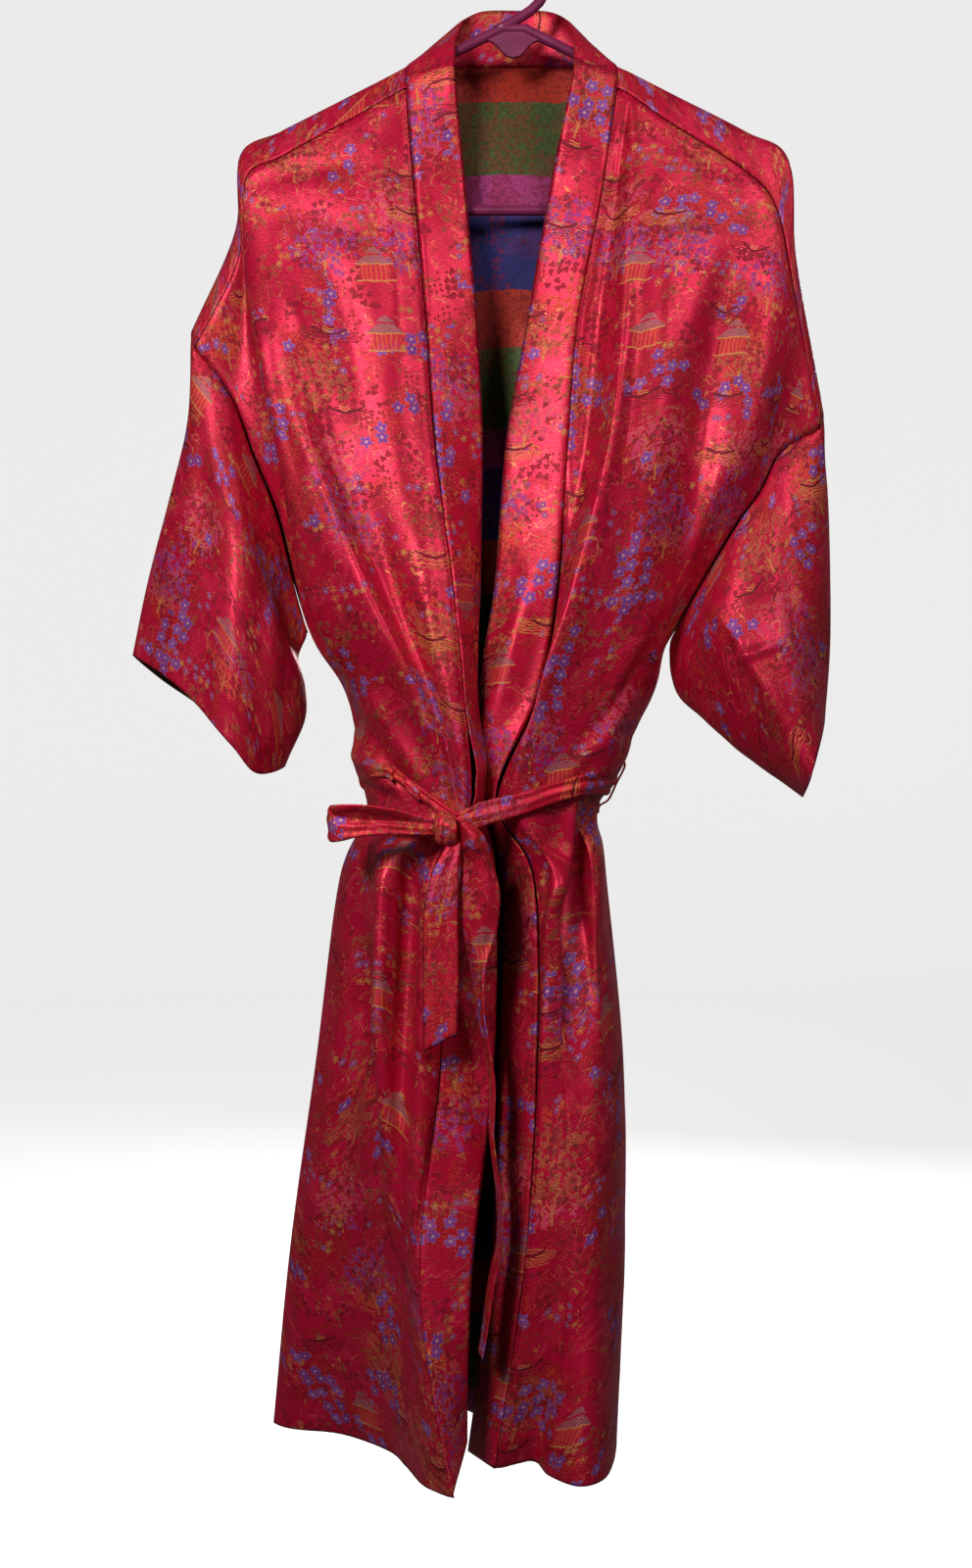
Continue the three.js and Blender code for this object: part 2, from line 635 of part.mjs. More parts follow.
// shoulder seams
sew(fronts.left, range(0, FRONT_COLUMNS).map((c) => [0, c, 1, 0]),
  back, range(0, FRONT_COLUMNS).map((c) => [0, FRONT_COLUMNS - c, 1, 0]));
sew(fronts.right, range(0, FRONT_COLUMNS).map((c) => [0, c, 1, 0]),
  back, range(0, FRONT_COLUMNS).map((c) => [0, BACK_LAST - FRONT_COLUMNS + c, 1, 0]));
// side seams
sew(fronts.left, range(ARM_ROWS, ROWS).map((r) => [r, FRONT_COLUMNS, 0, -1]),
  back, range(ARM_ROWS, ROWS).map((r) => [r + YOKE_ROWS, 0, 0, 1]));
sew(fronts.right, range(ARM_ROWS, ROWS).map((r) => [r, FRONT_COLUMNS, 0, -1]),
  back, range(ARM_ROWS, ROWS).map((r) => [r + YOKE_ROWS, BACK_LAST, 0, -1]));
// armholes
['left', 'right'].forEach((side) => {
  const ring = rings[side];
  const frontPart = range(0, ARM_ROWS);
  sew(sleeves[side], frontPart.map((k) => [0, k, 1, 0]),
    fronts[side], frontPart.map((k) => [k, FRONT_COLUMNS, 0, -1]));
  const backPart = range(ARM_ROWS + 1, ring.length - 1);
  sew(sleeves[side], backPart.map((k) => [0, k, 1, 0]),
    back, backPart.map((k) => [ring[k][1], ring[k][2], 0, ring[k][3]]));
});
// neckband seam: the left front, the neck and the right front
sew(band, range(0, ROWS).map((k) => [k, 0, 0, 1]),
  fronts.left, range(0, ROWS).map((k) => [ROWS - k, 0, 0, 1]));
sew(band, neckSeam.map((_, k) => [ROWS + 1 + k, 0, 0, 1]),
  back, neckSeam.map(([r, c]) => {
    const outward = { [FRONT_COLUMNS]: -1, [BACK_LAST - FRONT_COLUMNS]: 1 }[c] ?? 0;
    return [r, c, r === YOKE_ROWS ? 1 : 0, outward];
  }));
const bandRight = ROWS + 1 + neckSeam.length;
sew(band, range(0, ROWS).map((k) => [bandRight + k, 0, 0, 1]),
  fronts.right, range(0, ROWS).map((k) => [k, 0, 0, 1]));

add('front_viewer_left', wall(fronts.left, CLOTH), COLOURS.brocade, 0.4);
add('front_viewer_right', wall(fronts.right, CLOTH), COLOURS.brocade, 0.4);
add('back', wall(back, CLOTH), COLOURS.brocade, 0.4);
add('neckband', wall(band, BAND_CLOTH), COLOURS.band, 0.4);
add('sleeve_viewer_left', wall(sleeves.left, CLOTH), COLOURS.brocade, 0.4);
add('sleeve_viewer_right', wall(sleeves.right, CLOTH), COLOURS.brocade, 0.4);

// ---------------------------------------------------------------- sash

const SASH = {
  knot: { u: -43, drop: 617, wide: 26, high: 27, deep: 14 },
  centre: { x: -23, y: -14 },
  steps: 34,
  clear: 0.8,
  endGap: 2, // between the two ends behind the knot
};
// Drop of the sash's middle line round the waist, by degrees from the knot, viewer's right first.
const SASH_DROPS = [
  { degrees: -180, drop: 582 },
  { degrees: -100, drop: 574 },
  { degrees: -45, drop: 577 },
  { degrees: -20, drop: 598 },
  { degrees: 0, drop: 614 },
  { degrees: 50, drop: 600 },
  { degrees: 80, drop: 587 },
  { degrees: 120, drop: 582 },
  { degrees: 180, drop: 582 },
];
const LOOP_STRAP = { width: 9, cloth: 1.6, above: 34, below: 32, foot: 8 };

// The bow's one loop, seen from its front layer at the knot round its end and back behind.
const BOW_LOOP = [
  { u: -58, y: -85, high: 617, low: 627 },
  { u: -72, y: -89, high: 616, low: 631 },
  { u: -92, y: -92, high: 613, low: 633 },
  { u: -116, y: -95, high: 610, low: 630 },
  { u: -136, y: -92, high: 608, low: 633 },
  { u: -142, y: -84, high: 604, low: 630 },
  { u: -135, y: -77, high: 600, low: 624 },
  { u: -116, y: -76, high: 603, low: 622 },
  { u: -92, y: -77, high: 611, low: 626 },
  { u: -72, y: -80, high: 616, low: 628 },
  { u: -58, y: -81, high: 618, low: 627 },
];
// The short tail hangs flat: its two edges across, and their drops, at one depth a row.
const SHORT_TAIL = [
  { left: -51, right: -41, leftDrop: 630.9, rightDrop: 630.9, y: -84 },
  { left: -64, right: -43, leftDrop: 650, rightDrop: 646, y: -84 },
  { left: -70, right: -43, leftDrop: 680, rightDrop: 676, y: -85 },
  { left: -70, right: -42, leftDrop: 730, rightDrop: 724, y: -84 },
  { left: -69, right: -43, leftDrop: 782, rightDrop: 769, y: -86 },
];
// The long tail folds along its length, then turns edge-on: inner edge, middle and outer edge.
const LONG_TAIL = [
  { drop: 630.9, u: [-38, -33, -29], y: [-80, -84, -80] },
  { drop: 643, u: [-40, -25, -18], y: [-78, -88, -83] },
  { drop: 666, u: [-42, -23, -10], y: [-77, -89, -83] },
  { drop: 693, u: [-41, -26, -12], y: [-76, -85, -81] },
  { drop: 722, u: [-33, -29, -21], y: [-72, -79, -86] },
  { drop: 755, u: [-28, -26, -22], y: [-64, -76, -88] },
  { drop: 805, u: [-19, -17, -14], y: [-62, -75, -88] },
  { drop: 846, u: [-18, -17, -15], y: [-63, -76, -89] },
  { drop: 884, u: [-13, -12, -10], y: [-62, -76, -89] },
  { drop: 920, u: [-12, -11, -9], y: [-62, -76, -89] },
  { drop: 954, u: [-19, -18, -15], y: [-62, -76, -89] },
  { drop: 981, u: [-23, -21, -19], y: [-62, -76, -88] },
  { drop: 1007, u: [-27, -25, -24], y: [-62, -75, -87] },
];

// Points of the garment at a given depth, taken on the facets.
function sectionPoints(drop) {
  const z = -HOOK_DROP - drop;
  const found = [];
  [fronts.left, fronts.right, back, band].forEach((grid) => {
    for (let r = 0; r < grid.rows; r += 1) {
      for (let c = 0; c < grid.points[0].length; c += 1) {
        const high = grid.points[r][c];
        const low = grid.points[r + 1][c];
        const part = (high.z - z) / (high.z - low.z);
        if (part >= 0 && part <= 1) found.push(high.clone().lerp(low, part));
      }
    }
  });
  return found;
}

function degreesFromKnot(x, y) {
  const knot = place(SASH.knot.u, SASH.knot.drop, -74);
  const angle = Math.atan2(y - SASH.centre.y, x - SASH.centre.x)
    - Math.atan2(knot.y - SASH.centre.y, knot.x - SASH.centre.x);
  return THREE.MathUtils.euclideanModulo(THREE.MathUtils.radToDeg(angle) + 180, 360) - 180;
}

function sashDrop(degrees) {
  const k = SASH_DROPS.findIndex((mark) => mark.degrees >= degrees);
  const [one, two] = [SASH_DROPS[Math.max(k - 1, 0)], SASH_DROPS[Math.max(k, 1)]];
  return one.drop + (two.drop - one.drop) * ((degrees - one.degrees) / (two.degrees - one.degrees));
}

// Corners of the taut line round the waist: every side of it touches the cloth inside.
function tautLine(dropAt) {
  const sides = [];
  for (let k = 0; k < SASH.steps; k += 1) {
    const angle = (k / SASH.steps) * 2 * Math.PI;
    const direction = new THREE.Vector3(Math.cos(angle), Math.sin(angle), 0);
    const drop = dropAt(k, direction);
    let reach = 0;
    [-1, -0.5, 0, 0.5, 1].forEach((part) => {
      sectionPoints(drop + part * SASH_WIDTH / 2).forEach((point) => {
        const flat = new THREE.Vector3(point.x - SASH.centre.x, point.y - SASH.centre.y, 0);
        reach = Math.max(reach, flat.dot(direction));
      });
    });
    sides.push({ angle, reach: reach + BAND_CLOTH / 2 + SASH_CLOTH / 2 + SASH.clear });
  }
  return sides.map((one, k) => {
    const two = sides[(k + 1) % sides.length];
    const turn = two.angle - one.angle;
    const slide = (two.reach - one.reach * Math.cos(turn)) / Math.sin(turn);
    return {
      x: SASH.centre.x + one.reach * Math.cos(one.angle) - slide * Math.sin(one.angle),
      y: SASH.centre.y + one.reach * Math.sin(one.angle) + slide * Math.cos(one.angle),
    };
  });
}

// The sash's line round the waist, cut open behind the knot.
function sashLine() {
  const first = tautLine((k, direction) => sashDrop(degreesFromKnot(
    SASH.centre.x + direction.x,
    SASH.centre.y + direction.y,
  )));
  const corners = tautLine((k) => sashDrop(degreesFromKnot(first[k].x, first[k].y)));
  const knotX = place(SASH.knot.u, SASH.knot.drop, -74).x;
  const cutAt = (x) => {
    for (let k = 0; k < corners.length; k += 1) {
      const [one, two] = [corners[k], corners[(k + 1) % corners.length]];
      if (one.y < SASH.centre.y && two.y < SASH.centre.y && one.x <= x && two.x > x) {
        const part = (x - one.x) / (two.x - one.x);
        return { k, x, y: one.y + (two.y - one.y) * part };
      }
    }
    throw new Error('the sash line does not pass the knot');
  };
  const start = cutAt(knotX + SASH.endGap / 2);
  const end = cutAt(knotX - SASH.endGap / 2);
  const line = [start];
  for (let step = 1; step <= corners.length; step += 1) {
    const corner = corners[(start.k + step) % corners.length];
    const last = line[line.length - 1];
    if (Math.hypot(corner.x - last.x, corner.y - last.y) > 0.5) line.push(corner);
    if ((start.k + step) % corners.length === end.k) break;
  }
  line.push(end);
  return line.map(({ x, y }) => ({ x, y, drop: sashDrop(degreesFromKnot(x, y)) }));
}
const waistLine = sashLine();

// A flat ribbon from stations that give its two long edges.
function ribbon(stations, steps = 2) {
  return makeGrid(stations.map(({ high, low }) => {
    const row = [];
    for (let step = 0; step <= steps; step += 1) row.push(high.clone().lerp(low, step / steps));
    return row;
  }));
}
const sashRound = ribbon(waistLine.map(({ x, y, drop }) => ({
  high: new THREE.Vector3(x, y, -HOOK_DROP - drop + SASH_WIDTH / 2),
  low: new THREE.Vector3(x, y, -HOOK_DROP - drop - SASH_WIDTH / 2),
})));
add('sash_round_waist', wall(sashRound, SASH_CLOTH), COLOURS.sash, 0.4);

// The knot: a rounded block of wound cloth in front of the sash's two ends.
function knotSolid() {
  const { u, drop, wide, high, deep } = SASH.knot;
  const behind = Math.min(...waistLine.filter(({ x }) => Math.abs(x - place(u, drop, -74).x) < wide)
    .map(({ y }) => y)) - SASH_CLOTH / 2 - SEAM_GAP;
  const middle = place(u, drop, behind - deep / 2);
  const geometry = new THREE.SphereGeometry(1, 20, 12);
  geometry.deleteAttribute('normal');
  geometry.deleteAttribute('uv');
  const block = mergeVertices(geometry, 1e-4);
  const position = block.getAttribute('position');
  const boxy = (value) => Math.sign(value) * Math.abs(value) ** 0.62;
  for (let k = 0; k < position.count; k += 1) {
    position.setXYZ(
      k,
      middle.x + (wide / 2) * boxy(position.getX(k)),
      middle.y + (deep / 2) * boxy(position.getY(k)),
      middle.z + (high / 2) * boxy(position.getZ(k)),
    );
  }
  return block;
}
add('sash_knot', knotSolid(), COLOURS.sash, 0.4);

function smoothRibbon(highs, lows, perStation, steps = 2) {
  const stations = [];
  for (let k = 0; k <= (highs.length - 1) * perStation; k += 1) {
    stations.push({ high: along(highs, k / perStation), low: along(lows, k / perStation) });
  }
  return ribbon(stations, steps);
}
const bowLoop = smoothRibbon(
  BOW_LOOP.map(({ u, y, high }) => place(u, high, y)),
  BOW_LOOP.map(({ u, y, low }) => place(u, low, y)),
  3,
);
add('sash_bow_loop', wall(bowLoop, SASH_CLOTH), COLOURS.sash, 0.4);

const shortTail = smoothRibbon(
  SHORT_TAIL.map(({ left, leftDrop, y }) => place(left, leftDrop, y)),
  SHORT_TAIL.map(({ right, rightDrop, y }) => place(right, rightDrop, y)),
  3,
);
add('sash_tail_short', wall(shortTail, SASH_CLOTH), COLOURS.sash, 0.4);

const longTail = makeGrid((() => {
  const lines = [0, 1, 2].map((part) => LONG_TAIL.map(({ drop, u, y }) => place(u[part], drop, y[part])));
  const rows = [];
  const perStation = 2;
  for (let k = 0; k <= (LONG_TAIL.length - 1) * perStation; k += 1) {
    const across = lines.map((line) => along(line, k / perStation));
    rows.push([0, 0.5, 1, 1.5, 2].map((at) => along(across, at)));
  }
  return rows;
})());
add('sash_tail_long', wall(longTail, SASH_CLOTH), COLOURS.sash, 0.4);

// Belt loops: a narrow strap down each side seam, outside the sash.
function beltLoop(side) {
  const sign = side === 'left' ? -1 : 1;
  const column = fronts[side].points.map((row) => row[FRONT_COLUMNS]);
  const { width, cloth, above, below, foot } = LOOP_STRAP;
  const sideDrop = sashDrop(sign * 90);
  const seamAt = (drop) => {
    const z = -HOOK_DROP - drop;
    const k = column.findIndex((point, row) => row > 0 && point.z <= z);
    return column[k - 1].clone().lerp(column[k], (column[k - 1].z - z) / (column[k - 1].z - column[k].z));
  };
  const middle = seamAt(sideDrop);
  const reachAt = (drop) => {
    const near = sectionPoints(drop).filter((point) => Math.abs(point.y - middle.y) < 1.5 * width);
    return Math.max(...near.map((point) => sign * point.x), sign * seamAt(drop).x)
      + CLOTH / 2 + SEAM_GAP + cloth / 2;
  };
  const sashReach = Math.max(...waistLine.filter(({ y }) => Math.abs(y - middle.y) < 2 * width)
    .map(({ x }) => sign * x)) + SASH_CLOTH / 2 + SEAM_GAP + cloth / 2;
  const drops = [-above, -above + foot, -SASH_WIDTH / 2 - 4, 0, SASH_WIDTH / 2 + 4, below - foot, below]
    .map((step) => sideDrop + step);
  const edge = (dy) => drops.map((drop, k) => {
    const reach = Math.max(k > 1 && k < 5 ? sashReach : 0, reachAt(drop));
    return new THREE.Vector3(sign * reach, middle.y + dy, -HOOK_DROP - drop);
  });
  const low = edge(width / 2);
  return ribbon(edge(-width / 2).map((high, k) => ({ high, low: low[k] })));
}
add('belt_loop_viewer_left', wall(beltLoop('left'), LOOP_STRAP.cloth), COLOURS.brocade, 0.4);
add('belt_loop_viewer_right', wall(beltLoop('right'), LOOP_STRAP.cloth), COLOURS.brocade, 0.4);

// ---------------------------------------------------------------- hanger

function hangerLoop() {
  const { slope, apex, bar: barDrop, corner } = HANGER;
  const lean = Math.atan(slope);
  const meet = (barDrop - apex) / slope;
  const centreX = meet - corner / Math.tan(lean / 2);
  const centreZ = -HOOK_DROP - barDrop + corner;
  const degrees = THREE.MathUtils.radToDeg(lean);
  const right = arc({ x: centreX, z: centreZ }, corner, 90 - degrees, -90, 9);
  const top = [new THREE.Vector3(9, 0, -HOOK_DROP - apex - 9 * slope - 1)];
  const half = [...top, ...right];
  const mirror = half.map((point) => new THREE.Vector3(-point.x, 0, point.z)).reverse();
  return [...half, ...mirror];
}

function hookPath() {
  const radius = HANGER.hookRadius;
  const centreZ = HANGER.tube - radius;
  const stem = [[-14, -93.2], [0, -86], [14, -77], [25, -64], [30, -48], [29.5, -35]]
    .map(([x, z]) => new THREE.Vector3(x, 0, z));
  return [...stem, ...arc({ x: 0, z: centreZ }, radius, 0, 205, 16)];
}

function asSolid(wasm, geometry) {
  const copy = geometry.clone();
  copy.deleteAttribute('normal');
  copy.deleteAttribute('uv');
  const merged = mergeVertices(copy, 1e-4);
  return new wasm.Manifold(new wasm.Mesh({
    numProp: 3,
    vertProperties: Float32Array.from(merged.getAttribute('position').array),
    triVerts: Uint32Array.from(merged.getIndex().array),
  }));
}

function fromSolid(solid) {
  const mesh = solid.getMesh();
  const geometry = new THREE.BufferGeometry();
  geometry.setAttribute('position', new THREE.Float32BufferAttribute(mesh.vertProperties, 3));
  geometry.setIndex(Array.from(mesh.triVerts));
  return geometry;
}

function web() {
  const shape = new THREE.Shape();
  shape.moveTo(-22, -100);
  shape.lineTo(0, -89);
  shape.lineTo(22, -100);
  shape.quadraticCurveTo(14, -103, 9, -109);
  shape.quadraticCurveTo(0, -117, -9, -109);
  shape.quadraticCurveTo(-14, -103, -22, -100);
  const plate = new THREE.ExtrudeGeometry(shape, { depth: 4, bevelEnabled: false, curveSegments: 5 });
  plate.translate(0, 0, -2);
  plate.rotateX(Math.PI / 2);
  return plate;
}

const wasm = await Module();
wasm.setup();
const hanger = [
  bar(hangerLoop(), HANGER.tube, HANGER.sides, true),
  bar(hookPath(), HANGER.tube, HANGER.sides, false),
  web(),
].map((geometry) => asSolid(wasm, geometry)).reduce((sum, solid) => sum.add(solid));
add('hanger', fromSolid(hanger), COLOURS.hanger, 0.35);

export default group;
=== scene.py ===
import math

import bmesh
import bpy
import numpy as np
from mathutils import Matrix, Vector, noise


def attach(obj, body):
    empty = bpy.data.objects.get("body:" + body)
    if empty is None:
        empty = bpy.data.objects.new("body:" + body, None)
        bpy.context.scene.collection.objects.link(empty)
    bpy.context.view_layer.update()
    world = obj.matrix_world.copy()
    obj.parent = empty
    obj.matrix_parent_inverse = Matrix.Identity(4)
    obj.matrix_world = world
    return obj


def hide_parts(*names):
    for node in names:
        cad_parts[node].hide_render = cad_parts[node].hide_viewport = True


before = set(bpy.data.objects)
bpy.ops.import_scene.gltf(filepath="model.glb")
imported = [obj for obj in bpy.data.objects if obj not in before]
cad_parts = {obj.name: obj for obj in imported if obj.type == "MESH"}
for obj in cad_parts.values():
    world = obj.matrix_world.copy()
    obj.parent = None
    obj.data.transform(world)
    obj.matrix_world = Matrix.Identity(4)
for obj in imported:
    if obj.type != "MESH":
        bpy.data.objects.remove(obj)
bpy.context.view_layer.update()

# ---------------------------------------------------------------- floor, light and camera
# A pale round room whose floor sweeps up into its wall, two soft lamps in front and one behind, and a
# camera level with the middle of the robe, one and a half metres in front of the hanger. The room glows
# a little by itself and throws no light back on the robe, so the cloth keeps its depth of colour.
EYE = (-0.021, -1.5, -0.675)
ROOM_RADIUS, SWEEP, FLOOR, FLOOR_TO_TOP = 5.0, 1.6, -1.36, 13.0  # metres; the last along floor and wall


def linear(hex_colour):
    channels = [int(hex_colour[k:k + 2], 16) / 255 for k in (1, 3, 5)]
    return [c / 12.92 if c <= 0.04045 else ((c + 0.055) / 1.055) ** 2.4 for c in channels] + [1.0]


def add(tree, kind, feeds=None, **settings):
    made = tree.nodes.new(kind)
    for key, value in settings.items():
        setattr(made, key, value)
    for slot, feed in (feeds or {}).items():
        if isinstance(feed, bpy.types.Node):
            feed = next(o for o in feed.outputs if o.enabled)
        if isinstance(feed, bpy.types.NodeSocket):
            tree.links.new(feed, made.inputs[slot])
        else:
            made.inputs[slot].default_value = feed
    return made


def new_material(name):
    material = bpy.data.materials.new(name)
    material.use_nodes = True
    tree = material.node_tree
    tree.nodes.clear()
    return material, tree


paper, tree = new_material("painted_studio_floor")
grain = add(tree, "ShaderNodeTexNoise", {"Scale": 9.0, "Detail": 3.0})
tone = add(tree, "ShaderNodeMix", {"Factor": grain.outputs[0], 6: linear("#F4F3F2"), 7: linear("#FAF9F8")},
           data_type="RGBA")
shader = add(tree, "ShaderNodeBsdfPrincipled", {
    "Base Color": tone, "Roughness": 0.9, "Emission Color": linear("#FBFAFA"), "Emission Strength": 0.76})
add(tree, "ShaderNodeOutputMaterial", {"Surface": shader})

bm = bmesh.new()
bmesh.ops.create_grid(bm, x_segments=64, y_segments=40, size=0.5)
for v in bm.verts:
    run = (v.co.y + 0.5) * FLOOR_TO_TOP
    turn = min(max(run - ROOM_RADIUS, 0) / SWEEP, math.pi / 2)
    radius = min(run, ROOM_RADIUS) + SWEEP * math.sin(turn)
    rise = SWEEP * (1 - math.cos(turn)) + max(run - ROOM_RADIUS - SWEEP * math.pi / 2, 0)
    round_room = 2 * math.pi * (v.co.x + 0.5)
    v.co = Vector((radius * math.cos(round_room), radius * math.sin(round_room), FLOOR + rise))
bmesh.ops.remove_doubles(bm, verts=bm.verts, dist=0.0001)
bmesh.ops.recalc_face_normals(bm, faces=bm.faces)
floor_mesh = bpy.data.meshes.new("floor_sweep")
bm.to_mesh(floor_mesh)
bm.free()
floor_mesh.polygons.foreach_set("use_smooth", [True] * len(floor_mesh.polygons))
floor_mesh.materials.append(paper)
floor_sweep = bpy.data.objects.new("floor_sweep", floor_mesh)
bpy.context.scene.collection.objects.link(floor_sweep)
floor_sweep.visible_diffuse = False
floor_sweep.visible_glossy = False

LAMPS = [  # name, place, aim, width and height in metres, watts
    ("key", (-0.72, -1.5, 0.16), (0.0, 0.0, -0.65), 0.4, 0.4, 23),
    ("fill", (0.9, -1.2, 0.5), (0.06, 0.0, -0.3), 0.5, 0.5, 10),
    ("back", (0.5, 1.7, 0.1), (0.0, 0.0, -0.6), 0.6, 0.6, 20),
]
for name, place_m, aim, width, height, watts in LAMPS:
    data = bpy.data.lights.new(name, "AREA")
    data.shape, data.size, data.size_y, data.energy = "RECTANGLE", width, height, watts
    lamp = bpy.data.objects.new(name, data)
    lamp.location = place_m
    lamp.rotation_euler = (Vector(aim) - Vector(place_m)).to_track_quat("-Z", "Y").to_euler()
    bpy.context.scene.collection.objects.link(lamp)

world = bpy.data.worlds.new("soft_room")
bpy.context.scene.world = world
world.use_nodes = True
world.node_tree.nodes["Background"].inputs["Color"].default_value = linear("#F2F1F0")
world.node_tree.nodes["Background"].inputs["Strength"].default_value = 0.09
bpy.context.scene.view_settings.view_transform = "Standard"

camera_data = bpy.data.cameras.new("camera")
camera_data.sensor_fit = "VERTICAL"
camera_data.sensor_height = 36.0
camera_data.lens = 44.57
camera_data.clip_end = 40.0
camera = bpy.data.objects.new("camera", camera_data)
camera.location = EYE
camera.rotation_euler = (math.pi / 2, 0, 0)
bpy.context.scene.collection.objects.link(camera)
bpy.context.scene.camera = camera

# ---------------------------------------------------------------- hanger
# One moulded hanger of purple plastic: a round bar bent into two sloping arms and a straight bar
# between round ends, a hook that grows out of one arm, and a small web under the hook.
HOOK_DROP = 88.0
HANGER = {"tube": 3.9, "lean": 27, "apex": -2, "bar": 144, "corner": 26.4, "hook": 26}

plastic, tree = new_material("moulded_polypropylene")
coords = add(tree, "ShaderNodeTexCoord")
flow = add(tree, "ShaderNodeTexNoise", {"Vector": coords.outputs["Object"], "Scale": 60.0, "Detail": 4.0})
scuff = add(tree, "ShaderNodeTexNoise", {"Vector": coords.outputs["Object"], "Scale": 900.0, "Detail": 2.0})
tone = add(tree, "ShaderNodeMix", {"Factor": flow.outputs[0], 6: linear("#5E1238"), 7: linear("#8A2A56")},
           data_type="RGBA")
rough = add(tree, "ShaderNodeMapRange", {"Value": flow.outputs[0], 3: 0.26, 4: 0.42})
bump = add(tree, "ShaderNodeBump", {"Strength": 0.12, "Distance": 0.0004, "Height": scuff.outputs[0]})
shader = add(tree, "ShaderNodeBsdfPrincipled",
             {"Base Color": tone, "Roughness": rough, "IOR": 1.49, "Normal": bump})
add(tree, "ShaderNodeOutputMaterial", {"Surface": shader})


def bend(centre, radius, first, last, steps):
    angles = [math.radians(first + (last - first) * k / steps) for k in range(steps + 1)]
    return [(centre[0] + radius * math.cos(a), centre[1] + radius * math.sin(a)) for a in angles]


def round_bar(bm, path, radius, closed, sides=20):
    """Extrudes a ring of vertices along a path in the plane of the hanger, in millimetres."""
    count = len(path)
    rings = []
    for k, (x, z) in enumerate(path):
        before = path[k - 1] if closed or k else path[0]
        after = path[(k + 1) % count] if closed or k < count - 1 else path[-1]
        run = Vector((after[0] - before[0], 0, after[1] - before[1])).normalized()
        across = Vector((0, 1, 0)).cross(run)
        made = bmesh.ops.create_circle(bm, segments=sides, radius=radius / 1000)["verts"]
        for v in made:
            v.co = Vector((x, 0, z)) / 1000 + across * v.co.x + Vector((0, v.co.y, 0))
        rings.append({e for v in made for e in v.link_edges if e.other_vert(v) in made})
    for one, two in zip(rings, rings[1:] + rings[:1] if closed else rings[1:]):
        bmesh.ops.bridge_loops(bm, edges=list(one | two))
    if not closed:
        for ring in (rings[0], rings[-1]):
            bmesh.ops.contextual_create(bm, geom=list(ring))


bm = bmesh.new()
lean = math.radians(HANGER["lean"])
slope = math.tan(lean)
meet = (HANGER["bar"] - HANGER["apex"]) / slope
end_x = meet - HANGER["corner"] / math.tan(lean / 2)
end_z = -HOOK_DROP - HANGER["bar"] + HANGER["corner"]
half = [(9, -HOOK_DROP - HANGER["apex"] - 9 * slope - 1)]
half += bend((end_x, end_z), HANGER["corner"], 90 - HANGER["lean"], -90, 22)
round_bar(bm, half + [(-x, z) for x, z in reversed(half)], HANGER["tube"], True)
stem = [(-14, -93.2), (-7, -89.6), (0, -86), (8, -81.2), (14, -77), (20.6, -70.6), (25, -64),
        (28.4, -56), (30, -48), (30.2, -41), (29.5, -35), (28, -28.5)]
hook = bend((0, HANGER["tube"] - HANGER["hook"] + 0.1), HANGER["hook"], 2, 205, 40)
round_bar(bm, stem + hook, HANGER["tube"], False)
WEB = [(-22, -99.5), (-12, -94.5), (0, -89), (12, -94.5), (22, -99.5), (16, -102), (11.5, -105.6),
       (8, -110), (4.5, -113), (0, -114), (-4.5, -113), (-8, -110), (-11.5, -105.6), (-16, -102)]
plate = [bm.verts.new((x / 1000, -0.002, z / 1000)) for x, z in WEB]
face = bm.faces.new(plate)
wall = bmesh.ops.extrude_face_region(bm, geom=[face])["geom"]
bmesh.ops.translate(bm, vec=(0, 0.004, 0), verts=[g for g in wall if isinstance(g, bmesh.types.BMVert)])
bmesh.ops.recalc_face_normals(bm, faces=bm.faces)
hanger_mesh = bpy.data.meshes.new("plastic_hanger")
bm.to_mesh(hanger_mesh)
bm.free()
hanger_mesh.polygons.foreach_set("use_smooth", [len(p.vertices) == 4 for p in hanger_mesh.polygons])
hanger_mesh.materials.append(plastic)
hanger = bpy.data.objects.new("plastic_hanger", hanger_mesh)
bpy.context.scene.collection.objects.link(hanger)
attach(hanger, "root")
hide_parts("hanger")

# ---------------------------------------------------------------- brocade cloth
# Satin brocade: a crimson warp over which blossoms, leaves, little trees, pavilions, boats and water
# are woven in coloured wefts. The wefts change in level bands, which show plainly on the wrong side.
WEFT_REPEAT = 196.0  # mm from one green band to the next
VORONOI, NOISE, MATH = "ShaderNodeTexVoronoi", "ShaderNodeTexNoise", "ShaderNodeMath"


def ramp(tree, value, stops, interpolation="LINEAR"):
    made = add(tree, "ShaderNodeValToRGB", {"Fac": value})
    scale = made.color_ramp
    scale.interpolation = interpolation
    while len(scale.elements) < len(stops):
        scale.elements.new(0.5)
    for element, (position, colour) in zip(scale.elements, stops):
        element.position, element.color = position, linear(colour)
    return made


def over(tree, below, colour, mask):
    """Lays one weft's colour over what lies below it."""
    colour = linear(colour) if isinstance(colour, str) else colour
    made = add(tree, "ShaderNodeMix", {0: mask, 6: below, 7: colour}, data_type="RGBA")
    return made.outputs[2]


def product(tree, first, *others):
    for other in others:
        first = add(tree, MATH, {0: first, 1: other}, operation="MULTIPLY")
    return first


def within(tree, value, low, high):
    """1 where value lies between low and high, 0 elsewhere."""
    middle, half = (low + high) / 2, (high - low) / 2
    away = add(tree, MATH, {0: add(tree, MATH, {0: value, 1: middle}, operation="SUBTRACT")},
               operation="ABSOLUTE")
    return add(tree, MATH, {0: away, 1: half}, operation="LESS_THAN")


